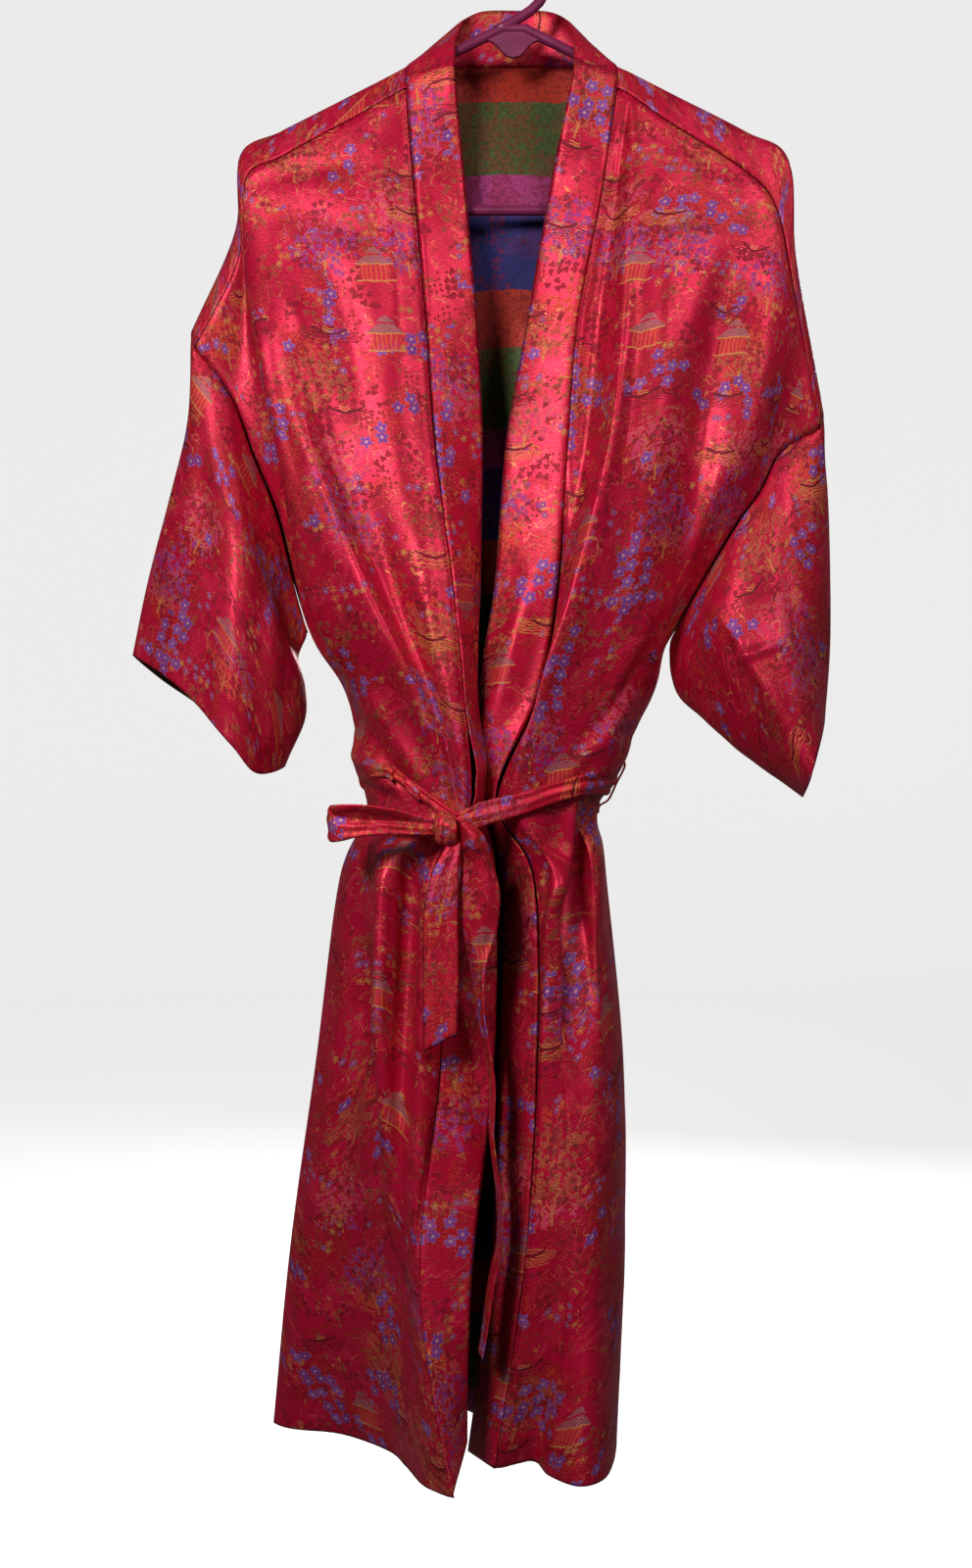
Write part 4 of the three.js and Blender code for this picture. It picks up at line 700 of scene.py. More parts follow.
def front_cloth(table, crease_table, overhang, seed):
    """A front with its creases, and the same before its overhang above the sash is lifted."""
    points = fold_cloth(fold_points(table), even_levels(FRONT_ROWS), FRONT_COLUMNS)
    normal = outward(points)
    turned = normal[:, :, 1].mean() > 0
    normal = -normal if turned else normal
    across, down = lengths(points, 1), lengths(points, 0)
    spots = seen(points)
    lift = creases(spots, crease_table) + crumple(spots, seed, 46, 1.3) + crumple(spots, seed + 7, 17, 0.45)
    lift *= np.clip(across / 8, 0, 1) * np.clip((across[:, -1:] - across) / 8, 0, 1) * np.clip(down / 8, 0, 1)
    lift += edge_dips(points, [(0, 1), (1, 0.7)], [(0, 1)], across, down)
    tops = np.interp(FRONT_COLUMNS, np.arange(8), [top for top, _, _ in table])
    flat = np.stack([across, -tops[None, :] - down], axis=-1)
    edges = np.stack([down[-1:] - down, across], axis=-1)
    under = points + normal * lift[..., None]
    return under + normal * creases(spots, [overhang])[..., None], under, flat, edges, turned


LEFT_OVERHANG = ((-128, 545), (-112, 573), (-97, 598), 12, 8.5)
left_points, left_under, left_flat, left_edges, left_turned = front_cloth(
    LEFT_FRONT, LEFT_CREASES, LEFT_OVERHANG, 1.3)
left_flat[..., 0] *= -1
left_flat[..., 0] -= 40
front_left = make_cloth("front_viewer_left_cloth", [(left_points, left_flat, left_edges, left_turned)], 0.8)
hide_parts("front_viewer_left")

# ---------------------------------------------------------------- front, viewer's right
# The same cut on the other side. It passes under the left front below the waist, and its long
# ridge and soft valley run down from the shoulder to the sash.
RIGHT_FRONT = [
    (53, [80, 69, 50, 42, 34, 19, -13, 16, 18, 8, -14],
     [-13, -20, -28, -36, -42, -44, -46, -48, -56, -58, -44]),
    (57, [89, 79, 67, 58, 40, 22, -6, 25, 30, 22, 5],
     [-13, -16, -25, -36, -54, -58, -55, -58, -66, -64, -32]),
    (63, [97, 89, 84, 73, 46, 20, 3, 34, 41, 37, 17],
     [-14, -30, -48, -66, -76, -75, -63, -62, -68, -66, -30]),
    (83, [126, 107, 99, 88, 71, 50, 26, 41, 51, 50, 27],
     [-14, -32, -46, -60, -62, -60, -56, -42, -61, -70, -58]),
    (117, [180, 150, 127, 112, 98, 84, 48, 51, 62, 62, 50],
     [-14, -34, -46, -56, -48, -44, -46, -32, -56, -68, -80]),
    (146, [204, 172, 153, 139, 121, 98, 59, 62, 71, 74, 69],
     [-14, -27, -34, -36, -26, -26, -32, -38, -50, -56, -66]),
    (208, [218, 205, 184, 158, 121, 106, 65, 69, 80, 83, 77],
     [-12, -28, -38, -38, -12, -8, -14, -24, -32, -34, -30]),
    (314, [238, 208, 190, 167, 120, 107, 67, 73, 86, 87, 80],
     [-9, -12, -16, -16, 6, 10, 4, 4, 2, 2, 20]),
]
RIGHT_CREASES = [
    ((98, 80), (135, 100), (186, 128), 9, -1.5),
    ((112, 130), (150, 150), (190, 175), 12, -1.4),
    ((120, 170), (118, 240), (110, 330), 9, 1.8),
    ((160, 210), (152, 280), (140, 350), 10, -2.2),
    ((196, 220), (190, 300), (176, 380), 9, 1.8),
    ((100, 340), (88, 410), (70, 480), 8, -2.0),
    ((120, 420), (98, 480), (62, 545), 7, 2.0),
    ((112, 470), (84, 520), (40, 572), 6, -2.2),
    ((96, 520), (70, 552), (30, 590), 5, 2.4),
    ((30, 440), (14, 500), (-6, 560), 5, 1.6),
    ((46, 600), (41, 632), (24, 720), 5, 9.0),
    ((57, 602), (50, 645), (36, 760), 6, -9.0),
    ((46, 650), (42, 760), (26, 890), 12, -8.5),
    ((30, 660), (26, 760), (10, 890), 5, 5.0),
    ((30, 618), (22, 650), (12, 700), 5, -3.0),
    ((66, 606), (67, 640), (68, 700), 5, 3.0),
    ((20, 625), (26, 680), (30, 760), 6, -2.6),
    ((8, 630), (14, 690), (20, 770), 5, 2.2),
    ((66, 640), (70, 720), (76, 820), 7, -2.6),
    ((58, 760), (62, 860), (64, 960), 8, 2.0),
    ((40, 820), (38, 920), (34, 1010), 7, -2.0),
    ((74, 900), (76, 980), (72, 1060), 8, -1.8),
]
RIGHT_OVERHANG = ((86, 546), (72, 570), (58, 597), 11, 8.5)
right_points, right_under, right_flat, right_edges, right_turned = front_cloth(
    RIGHT_FRONT, RIGHT_CREASES, RIGHT_OVERHANG, 5.1)
right_flat[..., 0] += 70
front_right = make_cloth("front_viewer_right_cloth",
                         [(right_points, right_flat, right_edges, right_turned)], 0.8)
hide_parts("front_viewer_right")

# ---------------------------------------------------------------- back
# One piece from the shoulder seams, which lie in front of the hanger's arms, over the arms and down
# to the hem. Its neckline stands behind the hook, and its fullness falls in soft pleats.
OVER_ARM = [(-8.8, -3), (-5.4, 3.8), (0, 6.6), (5.4, 3.8), (9, -3)]  # y, rise off the arm's line
LEFT_DROOP = [(-211, 101, 1), (-215, 160, 0.9), (-249, 238, 0.6)]  # u, crease drop, width of the fold
RIGHT_DROOP = [(213, 105, 1), (219, 182, 0.9), (240, 300, 0.6)]
NECK = [((-83, 33, 0), (-44, 14, -4)), ((-81, 30, 11), (-40, -4, 12)), ((-74, 27, 24), (-35, -16, 25)),
        ((-40, 21, 36), (-22, -24, 35)), ((0, 19, 41), (4, -26, 39))]
BACK_LEVELS = [(9, 0, 0), (18, 3, 0.35), (27, 6, 0.75), (38, 12, 1), (46, 15, 1), (46, 12, 1), (40, 7, 1),
               (50, 12, 1), (64, 19, 1), (76, 23, 1), (90, 27, 1)]  # depth, throw, spread
BACK_FOLDS = [0, 0.55, 0.95, 0.6, -0.3, -0.9, -0.8, -0.1, 0.6, 0.8, 0.3, -0.5, -1, -0.6, 0.2, 0.9, 0.8,
              0.2, 0]
BACK_ARMHOLE = {"left": ([-248, -226, -207, -184], [6, 16, 22, 26]),
                "right": ([239, 216, 198, 176], [6, 12, 18, 24])}


def yoke_line(fold, droop):
    top, us, ys = fold
    u, width = (droop[0], droop[2]) if droop else (us[0], 1)
    centre = droop[1] + 6.6 * width if droop else HANGER["apex"] + abs(u) * slope
    return [place(us[0], top, ys[0])] + [place(u, centre - rise * width, y * width) for y, rise in OVER_ARM]


def yoke(table, droops, neck):
    lines = [yoke_line(fold, droops[k - 5] if k >= 5 else None) for k, fold in enumerate(table)]
    lines[0] = lines[0][:3] + list(neck[:3])
    return np.array(lines)


neck_left = np.array([place(*seam) for seam, _ in NECK])
neck_right = np.array([place(-u - 3, drop, y) for (u, drop, y), _ in NECK])
yoke_left = yoke(LEFT_FRONT, LEFT_DROOP, neck_left)
yoke_right = yoke(RIGHT_FRONT, RIGHT_DROOP, neck_right)
nape = np.concatenate([yoke_left[::-1, 5], [neck_left[3], neck_left[4], neck_right[3]], yoke_right[:, 5]])
tops = [f[0] for f in LEFT_FRONT][::-1] + [NECK_TOP] * 3 + [f[0] for f in RIGHT_FRONT]


def side_at(side, table, level):
    if level < UNDERARM:
        return BACK_ARMHOLE[side][0][level], BACK_ARMHOLE[side][1][level]
    return table[-1][1][level], table[-1][2][level]


def back_fold(k):
    last = len(nape) - 1
    share = k / last
    line = [nape[k]]
    for level in range(1, 11):
        depth, throw, spread = BACK_LEVELS[level]
        left_u, left_y = side_at("left", LEFT_FRONT, level)
        right_u, right_y = side_at("right", RIGHT_FRONT, level)
        even = left_u + (right_u - left_u) * share
        hanging = nape[k][0] * (abs(left_u) + abs(right_u)) / (abs(nape[0][0]) + nape[last][0])
        u = hanging + (even - hanging) * spread
        fullness = min(1, 5 * min(share, 1 - share))
        side_y = left_y if share < 0.5 else right_y
        y = side_y + (depth - side_y) * math.sin(fullness * math.pi / 2) + throw * BACK_FOLDS[k]
        if k == 0:
            u, y = left_u, left_y
        if k == last:
            u, y = right_u, right_y
        line.append(place(u, level_drop(level, tops[k]), y))
    return np.array(line)


back_lines = [back_fold(k) for k in range(19)]
BACK_STEPS = 9
BACK_ROWS = 283


def body_rows(levels):
    """All fold lines of the back at fractional levels, each led in by its own yoke line."""
    crossing = []
    for k, line in enumerate(back_lines):
        if k <= 7:
            lead = yoke_left[7 - k, 4:5]
        elif k >= 11:
            lead = yoke_right[k - 11, 4:5]
        else:
            lead = 2 * line[:1] - line[1:2]
        crossing.append(along(np.concatenate([lead, line]), levels + 1))
    return np.array(crossing)


body = body_rows(even_levels(BACK_ROWS))
body = np.swapaxes(along(body, np.linspace(0, 18, 18 * BACK_STEPS + 1)), 0, 1)
YOKE_STEPS = 5


def yoke_cloth(lines, columns):
    rows = np.linspace(0, 5, 5 * YOKE_STEPS + 1)
    crossing = along(np.swapaxes(lines, 0, 1), rows)
    return np.swapaxes(along(np.swapaxes(crossing, 0, 1), columns), 0, 1)


yoke_part_left = yoke_cloth(yoke_left[::-1], np.linspace(0, 7, 7 * BACK_STEPS + 1))
yoke_part_right = yoke_cloth(yoke_right, np.linspace(0, 7, 7 * BACK_STEPS + 1))
body[0, :7 * BACK_STEPS + 1] = yoke_part_left[-1]
body[0, 11 * BACK_STEPS:] = yoke_part_right[-1]
BACK_CREASES = [  # x across and drop, seen from behind
    ((-170, 130), (-120, 150), (-70, 160), 12, 2.0),
    ((150, 140), (110, 160), (60, 168), 12, 2.0),
    ((-30, 60), (-34, 200), (-46, 360), 16, -2.5),
    ((40, 60), (46, 220), (56, 380), 15, 2.5),
    ((-130, 260), (-110, 360), (-92, 470), 12, -2.6),
    ((140, 280), (118, 380), (96, 480), 12, -2.6),
    ((-90, 520), (-84, 560), (-80, 580), 6, 2.4),
    ((-56, 510), (-52, 555), (-50, 580), 6, -2.4),
    ((-20, 520), (-20, 560), (-18, 580), 6, 2.4),
    ((14, 505), (12, 550), (12, 580), 6, -2.4),
    ((44, 520), (40, 560), (38, 580), 6, 2.2),
    ((-84, 606), (-90, 660), (-100, 760), 6, -2.8),
    ((-40, 606), (-42, 680), (-46, 800), 6, 2.6),
    ((-8, 606), (-8, 660), (-6, 740), 6, -2.6),
    ((26, 606), (30, 680), (36, 780), 6, 2.6),
    ((52, 606), (56, 650), (62, 730), 6, -2.6),
    ((-120, 820), (-132, 920), (-146, 1040), 10, 2.4),
    ((-20, 850), (-22, 950), (-26, 1060), 9, 2.2),
    ((60, 860), (64, 960), (68, 1060), 9, -2.2),
]
spots = np.stack([body[..., 0], -HOOK_DROP - body[..., 2]], axis=-1)
normal = outward(body)
turned = normal[:, :, 1].mean() < 0
normal = -normal if turned else normal
across, down = lengths(body, 1), lengths(body, 0)
lift = creases(spots, BACK_CREASES) + crumple(spots, 11.7, 50, 1.5) + crumple(spots, 17.7, 18, 0.5)
lift *= np.clip(across / 8, 0, 1) * np.clip((across[:, -1:] - across) / 8, 0, 1) * np.clip(down / 30, 0, 1)
lift += edge_dips(body, [(0, 0.7), (1, 0.7)], [], across, down)
body = body + normal * lift[..., None]
middle = 9 * BACK_STEPS
back_tops = np.interp(np.linspace(0, 18, body.shape[1]), np.arange(19), tops)
even_across = across - across[:, middle:middle + 1]
body_flat = np.stack([-even_across, -back_tops[None, :] - down], axis=-1)


def yoke_flat(part, columns):
    rise = lengths(part, 0)
    base = body_flat[0, columns]
    return np.stack([np.repeat(base[None, :, 0], len(part), axis=0), base[:, 1] + rise[-1:] - rise], axis=-1)


body_edges = np.stack([down[-1:] - down, np.full(down.shape, 900.0)], axis=-1)
yoke_columns = slice(0, 7 * BACK_STEPS + 1), slice(11 * BACK_STEPS, None)
bare = np.full(yoke_part_left.shape[:2] + (2,), 900.0)
back = make_cloth("back_cloth", [
    (body, body_flat, body_edges, turned),
    (yoke_part_left, yoke_flat(yoke_part_left, yoke_columns[0]), bare,
     outward(yoke_part_left)[10, :, 2].mean() < 0),
    (yoke_part_right, yoke_flat(yoke_part_right, yoke_columns[1]), bare,
     outward(yoke_part_right)[10, :, 2].mean() < 0),
], 0.8)
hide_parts("back")

# ---------------------------------------------------------------- sleeves
# Wide straight sleeves set on at the dropped armhole, open at the cuff, where the edge is turned
# in and stitched. Rings are given from the top fold, down the front to the underarm and up the back.
LEFT_SLEEVE = [  # u, drop and y of eight fold lines round each ring
    ([-252, -236, -214, -188, -166, -194, -220, -241], [308, 325, 365, 420, 490, 418, 357, 311],
     [0, -14, -22, -14, 8, 34, 31, 20]),
    ([-264, -241, -214, -185, -161, -187, -221, -253], [360, 382, 420, 458, 512, 455, 413, 375],
     [4, -20, -36, -24, 8, 36, 36, 26]),
    ([-282, -249, -216, -186, -161, -183, -226, -262], [428, 450, 488, 514, 538, 512, 477, 447],
     [8, -24, -42, -28, 10, 32, 37, 28]),
    ([-294, -257, -218, -198, -176, -196, -234, -272], [487, 515, 558, 579, 573, 568, 532, 505],
     [6, -22, -40, -24, 8, 26, 33, 26]),
]
RIGHT_SLEEVE = [
    ([243, 220, 195, 157, 124, 142, 184, 222], [360, 382, 413, 458, 509, 488, 428, 382],
     [0, -24, -34, -32, 8, 32, 38, 27]),
    ([245, 226, 205, 174, 148, 165, 199, 229], [420, 443, 473, 492, 537, 520, 481, 443],
     [4, -29, -44, -44, 4, 36, 43, 31]),
    ([245, 232, 218, 196, 186, 198, 215, 235], [481, 503, 526, 530, 569, 558, 528, 503],
     [8, -28, -49, -50, -2, 36, 46, 35]),
    ([241, 240, 236, 230, 224, 227, 233, 239], [537, 545, 560, 583, 597, 590, 572, 549],
     [10, -20, -47, -52, -10, 32, 46, 40]),
]
LEFT_SLEEVE_CREASES = [
    ((-246, 300), (-240, 370), (-232, 440), 8, -2.2),
    ((-214, 330), (-212, 420), (-216, 520), 9, 2.6),
    ((-194, 380), (-192, 450), (-198, 540), 8, -2.6),
    ((-266, 400), (-262, 450), (-264, 500), 7, 1.8),
    ((-176, 440), (-174, 490), (-178, 560), 6, -2.2),
    ((-240, 460), (-238, 500), (-240, 540), 7, -1.8),
]
RIGHT_SLEEVE_CREASES = [
    ((236, 320), (232, 390), (236, 470), 8, 1.8),
    ((206, 380), (214, 440), (224, 500), 8, -2.2),
    ((150, 446), (178, 486), (212, 540), 5, 3.2),
    ((166, 466), (172, 500), (196, 535), 5, -3.0),
    ((166, 496), (186, 490), (206, 481), 4, 2.8),
    ((140, 480), (160, 510), (200, 560), 7, -2.4),
]
ARM_LEVELS = even_levels(61, 0, UNDERARM)


def armhole(table, side):
    """The armhole's ring: down the front's side line, and up the back's."""
    front_line = along(fold_points(table)[-1], ARM_LEVELS)
    k = 0 if side == "left" else 18
    lead = (yoke_left if side == "left" else yoke_right)[-1]
    back_line = along(np.concatenate([lead[4:5], back_lines[k]]), ARM_LEVELS + 1)
    over = along(lead, np.linspace(0, 5, 13))
    ring = np.concatenate([front_line, back_line[::-1][1:], over[::-1][1:]])
    share = np.concatenate([
        np.linspace(0, 4, 61),
        4 + 4 * np.arange(1, 61 + 12) / (61 + 12),
    ])
    return ring, share


def sleeve_cloth(name, table, front_table, side, crease_table, seed, rows=96):
    ring, share = armhole(front_table, side)
    sections = np.array([place(u, drop, y) for u, drop, y in table])
    lines = [ring] + [along(section, share, closed=True) for section in sections]
    points = along(np.array(lines), np.linspace(0, 4, rows))
    normal = outward(points)
    centre = points.mean(axis=1, keepdims=True)
    turned = ((points - centre) * normal).sum(-1).mean() < 0
    normal = -normal if turned else normal
    across, down = lengths(points, 1), lengths(points, 0)
    spots = seen(points)
    lift = creases(spots, crease_table) + crumple(spots, seed, 40, 1.2) + crumple(spots, seed + 5, 16, 0.4)
    lift *= np.clip(down / 10, 0, 1)
    closing = np.exp(-((across - across[:, -1:]) / 12) ** 2) + np.exp(-(across / 12) ** 2)
    lift *= 1 - np.clip(closing, 0, 1)
    lift += edge_dips(points, [], [(0, 0.9)], across, down)
    points = points + normal * lift[..., None]
    points[:, -1] = points[:, 0]
    flat = np.stack([across - across[:, 60:61], -down - 240], axis=-1)
    if side == "left":
        flat[..., 0] *= -1
    edges = np.stack([down[-1:] - down, np.full(down.shape, 900.0)], axis=-1)
    piece = make_cloth(name, [(points, flat, edges, turned)], 0.8)
    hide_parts(f"sleeve_viewer_{side}")
    return piece


sleeve_left = sleeve_cloth("sleeve_viewer_left_cloth", LEFT_SLEEVE, LEFT_FRONT, "left",
                           LEFT_SLEEVE_CREASES, 21.0)
sleeve_right = sleeve_cloth("sleeve_viewer_right_cloth", RIGHT_SLEEVE, RIGHT_FRONT, "right",
                            RIGHT_SLEEVE_CREASES, 27.0)

# ---------------------------------------------------------------- neckband
# A long strip folded double, 43 mm wide, sewn by its cut edges to both fronts and the back of the
# neck. Its folded edge is free. It stands up behind the hanger and turns inwards down the chest.
LEFT_EDGE = ([-45, -37, -28, -23, -25, -28, -24, -13, -15, -32, -35],
             [-20, -16, -16, -22, -24, -32, -30, -42, -46, -74, -62], [8, 3, 0, 0, 0, 0, 0, 0, 0, 0, 28])
RIGHT_EDGE = ([46, 29, 11, -6, -15, -29, -28, -9, -12, -18, -35],
              [-22, -14, -16, -22, -26, -18, -8, -12, -22, -26, -4], [8, 3, 0, 0, 0, 0, 0, 0, 0, 0, 0])


def band_edge(edge, top):
    us, ys, lifts = edge
    drops = [top if k == 0 else LEVELS[k] for k in range(11)]
    return np.array([place(us[k], drops[k] - lifts[k], ys[k]) for k in range(11)])


def doubled_strip(one, two, thickness, columns, crown=0.0, lift=None, closed_ends=True):
    """A strip folded double: both faces and the round edges between its two long edges, in mm."""
    half = np.linspace(0, 1, columns)
    middle = one[:, None] + (two - one)[:, None] * half[None, :, None]
    normal = outward(middle)
    swell = thickness / 2 * np.sqrt(np.clip(1 - np.abs(2 * half - 1) ** 8, 0.0, 1))
    swell = swell + crown * (1 - (2 * half - 1) ** 2)
    swell = swell[None, :] * np.ones((len(one), 1))
    if closed_ends:
        swell[[0, -1]] = 0
    if lift is not None:
        middle = middle + normal * lift(middle)[..., None]
    outer = middle + normal * swell[..., None]
    inner = middle - normal * swell[..., None]
    points = np.concatenate([outer, inner[:, ::-1][:, 1:]], axis=1)
    down = lengths(middle, 0).mean(axis=1, keepdims=True)
    across = lengths(points, 1)
    flat = np.stack([across, -np.repeat(down, points.shape[1], axis=1)], axis=-1)
    return points, flat


left_seam, right_seam = fold_points(LEFT_FRONT)[0], fold_points(RIGHT_FRONT)[0]
left_free, right_free = band_edge(LEFT_EDGE, 53), band_edge(RIGHT_EDGE, 53)
neck_free = [place(*edge) for _, edge in NECK]
neck_free_right = [place(-u + 3, drop, y) for _, (u, drop, y) in NECK]
seam_line = np.concatenate([
    left_seam[::-1], yoke_left[0, 1:], neck_left[3:5], neck_right[3:4], yoke_right[0, 1:][::-1], right_seam])
free_line = np.concatenate([
    left_free[::-1],
    [left_free[0] + (neck_free[0] - left_free[0]) * k / 3 for k in (1, 2)], neck_free,
    neck_free_right[3::-1],
    [right_free[0] + (neck_free_right[0] - right_free[0]) * k / 3 for k in (2, 1)],
    right_free])
fine = np.linspace(0, len(seam_line) - 1, 4001)
run = lengths(along(seam_line, fine)[:, None], 0)[:, 0]
even = np.interp(np.linspace(0, run[-1], 760), run, fine)
band_one, band_two = along(seam_line, even), along(free_line, even)


BAND_HOLLOW = ((15, 430), (-7, 520), (-27, 592), 12, -12.0)  # where the band lies back between the fronts


def band_lift(middle):
    spots = seen(middle)
    return crumple(spots, 31.0, 40, 1.0) + crumple(spots, 36.0, 15, 0.35) + creases(spots, [BAND_HOLLOW])


band_points, band_flat = doubled_strip(band_one, band_two, 2.0, 15, 0.5, band_lift)
band_edges = np.stack([np.full(band_flat.shape[:2], 900.0), band_flat[..., 0]], axis=-1)
band = make_cloth("neckband_cloth", [(band_points, band_flat, band_edges)], 0, materials=(band_brocade,))
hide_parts("neckband")

# ---------------------------------------------------------------- sash round the waist
# A strip folded double and pressed, drawn tight round the robe and crushed narrower where it goes
# into the knot. It lies lowest at the knot and rises to the belt loops.
SASH_DROPS = [(-180, 582), (-100, 574), (-45, 577), (-20, 598), (0, 614), (50, 600), (80, 587), (120, 582),
              (180, 582)]  # degrees from the knot, viewer's right first, and drop of the middle line
SASH_HALF = [(-180, 14), (-120, 14), (-95, 11.5), (-66, 6.5), (-45, 5), (-12, 5), (0, 5.5), (6, 7.5),
             (14, 9.5), (45, 8.5), (70, 7.5), (92, 9.5), (120, 14), (180, 14)]  # half width there, mm
WAIST = np.array([-23.0, -14.0])
KNOT_SPOT = place(-43, 617, -74)


def from_knot(spot):
    knot = KNOT_SPOT[:2] - WAIST
    turn = math.degrees(math.atan2(spot[1] - WAIST[1], spot[0] - WAIST[0]) - math.atan2(knot[1], knot[0]))
    return (turn + 180) % 360 - 180


def by_degrees(table, degrees):
    return np.interp(degrees, [d for d, _ in table], [value for _, value in table])


worn = np.concatenate([p.reshape(-1, 3) for p in (left_under, right_under, body, band_points)])
worn = worn[(worn[:, 2] < -HOOK_DROP - 530) & (worn[:, 2] > -HOOK_DROP - 680)]


def taut_line(spots):
    """Corners of the tight line round everything at the sash's height, one for each direction."""
    count, sides = len(spots), []
    for k, spot in enumerate(spots):
        angle = 2 * math.pi * k / count
        level = by_degrees(SASH_DROPS, from_knot(spot))
        near = worn[np.abs(-HOOK_DROP - worn[:, 2] - level) < 15]
        reach = ((near[:, :2] - WAIST) @ np.array([math.cos(angle), math.sin(angle)])).max() + 1.6
        sides.append((angle, reach))
    corners = []
    for (one, near), (two, far) in zip(sides, sides[1:] + sides[:1]):
        slide = (far - near * math.cos(two - one)) / math.sin(two - one)
        corners.append(WAIST + np.array([near * math.cos(one) - slide * math.sin(one),
                                         near * math.sin(one) + slide * math.cos(one)]))
    return corners


corners = [WAIST + np.array([math.cos(a), math.sin(a)]) for a in np.arange(60) * math.pi / 30]
corners = taut_line(taut_line(corners))
start = min(range(60), key=lambda k: abs(from_knot(corners[k])))
loop_line = np.array([(corners[start - k] if k else corners[start]) for k in range(61)])
run = np.concatenate([[0], np.cumsum(np.linalg.norm(np.diff(loop_line, axis=0), axis=1))])
even = np.linspace(0, run[-1], 261)
ring_line = np.stack([np.interp(even, run, loop_line[:, k]) for k in (0, 1)], axis=1)
soft = np.array([0.1, 0.2, 0.4, 0.2, 0.1])
for _ in range(4):
    padded = np.concatenate([ring_line[-3:-1], ring_line, ring_line[1:3]])
    ring_line = np.stack([np.convolve(padded[:, k], soft, "valid") for k in (0, 1)], axis=1)
degrees = np.array([from_knot(spot) for spot in ring_line])
level = by_degrees(SASH_DROPS, degrees)
half_width = by_degrees(SASH_HALF, degrees)
way = np.arctan2(worn[:, 1] - WAIST[1], worn[:, 0] - WAIST[0])


def drawn_in(line, drops):
    """The taut line at one edge of the sash, lying in on the gathered cloth at both sides."""
    line = line.copy()
    for k, spot in enumerate(line):
        arm = spot - WAIST
        turn = np.abs((way - math.atan2(arm[1], arm[0]) + math.pi) % (2 * math.pi) - math.pi)
        near = worn[(turn < 0.16) & (np.abs(-HOOK_DROP - worn[:, 2] - drops[k]) < 5)]
        pull = np.interp(abs(degrees[k]), [46, 66, 116, 136], [0, 1, 1, 0])
        full = np.linalg.norm(arm)
        radius = np.linalg.norm(near[:, :2] - WAIST, axis=1).max() + 1.8
        line[k] = WAIST + arm / full * (full + pull * (max(min(radius, full + 3), full - 26) - full))
    for _ in range(3):
        padded = np.concatenate([line[-3:-1], line, line[1:3]])
        line = np.stack([np.convolve(padded[:, k], soft, "valid") for k in (0, 1)], axis=1)
    return line


ring_high = np.column_stack([drawn_in(ring_line, level - half_width), -HOOK_DROP - level + half_width])
ring_low = np.column_stack([drawn_in(ring_line, level + half_width), -HOOK_DROP - level - half_width])


def crushed(middle, seed, folds, height=0.9):
    """Lengthwise folds of a strip that is crushed narrower than it was pressed."""
    rows, columns = middle.shape[:2]
    share = np.linspace(0, 1, columns)[None, :]
    sway = np.array([noise.noise(Vector((r * 0.06, seed, 0.5))) for r in range(rows)])[:, None]
    total = np.zeros((rows, columns))
    for centre, width, rise in folds:
        total += rise * np.exp(-((share - centre - 0.16 * sway) / width) ** 2)
    wave = [noise.noise(Vector((r * 0.15, c * 0.5, seed))) for r in range(rows) for c in range(columns)]
    return total * height + 0.5 * np.array(wave).reshape(rows, columns)


def sash_strip(name, node, one, two, thickness=1.5, columns=15, crown=0.3, seed=3.0, folds=(), v_from=0.0,
               height=0.9, closed=False):
    points, flat = doubled_strip(one, two, thickness, columns, crown,
                                 lambda middle: crushed(middle, seed, folds, height), closed_ends=not closed)
    flat[..., 1] -= v_from
    piece = make_cloth(name, [(points, flat)], 0, materials=(sash_brocade,))
    if node:
        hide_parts(node)
    return piece


sash_ring = sash_strip("sash_round_waist_cloth", "sash_round_waist", ring_high, ring_low, seed=3.0,
                       folds=((0.34, 0.1, -1.0), (0.62, 0.09, 0.9), (0.85, 0.08, -0.6)), closed=True)

# ---------------------------------------------------------------- knot
# The middle of the bow: one turn of the strip, crushed to 17 mm, wound over the two arms of the
# sash from above and tucked in behind.
turns = np.linspace(-2.6, 3.68, 64)
wrap_y, wrap_z = -84.5 - 8.0 * np.cos(turns), -HOOK_DROP - 618.5 + 10.0 * np.sin(turns)
pinch = 1 - 0.2 * np.abs(np.sin(turns))
wrap_one = np.column_stack([-50.5 - 9.0 * pinch, wrap_y, wrap_z])
wrap_two = np.column_stack([-50.5 + 9.0 * pinch, wrap_y - 1.0, wrap_z - 1.5])
knot_wrap = sash_strip("sash_knot_wrap", "sash_knot", wrap_one, wrap_two, thickness=1.6, crown=1.0, seed=9.0,
                       folds=((0.3, 0.09, -1.3), (0.66, 0.08, -1.0)), v_from=300, height=1.0)

# ---------------------------------------------------------------- bow loop
# The one loop of the bow: it leaves the knot to the viewer's left, turns and comes back behind,
# pressed almost flat and open at its upper edge.
BOW_LOOP = [(-50, -86, -86, 615, 622), (-58, -88, -88, 615.5, 624), (-72, -90, -92, 614.5, 624),
            (-92, -92, -95, 613.5, 624), (-116, -93, -97, 612, 625), (-136, -91, -94, 610, 629),
            (-142.5, -87, -83, 604, 628), (-137, -86, -74, 602, 620), (-116, -88, -72, 602, 617),
            (-92, -88, -73, 605, 620), (-72, -87, -78, 610, 623), (-56, -84, -82, 614, 625)]
high = np.array([place(u, top, y) for u, y, _, top, _ in BOW_LOOP])
low = np.array([place(u, bottom, y) for u, _, y, _, bottom in BOW_LOOP])
steps = np.linspace(0, len(BOW_LOOP) - 1, 150)
bow_loop = sash_strip("sash_bow_loop_cloth", "sash_bow_loop", along(high, steps), along(low, steps),
                      seed=14.0, folds=((0.42, 0.12, 0.8), (0.75, 0.1, -0.7)), v_from=420, height=0.8)

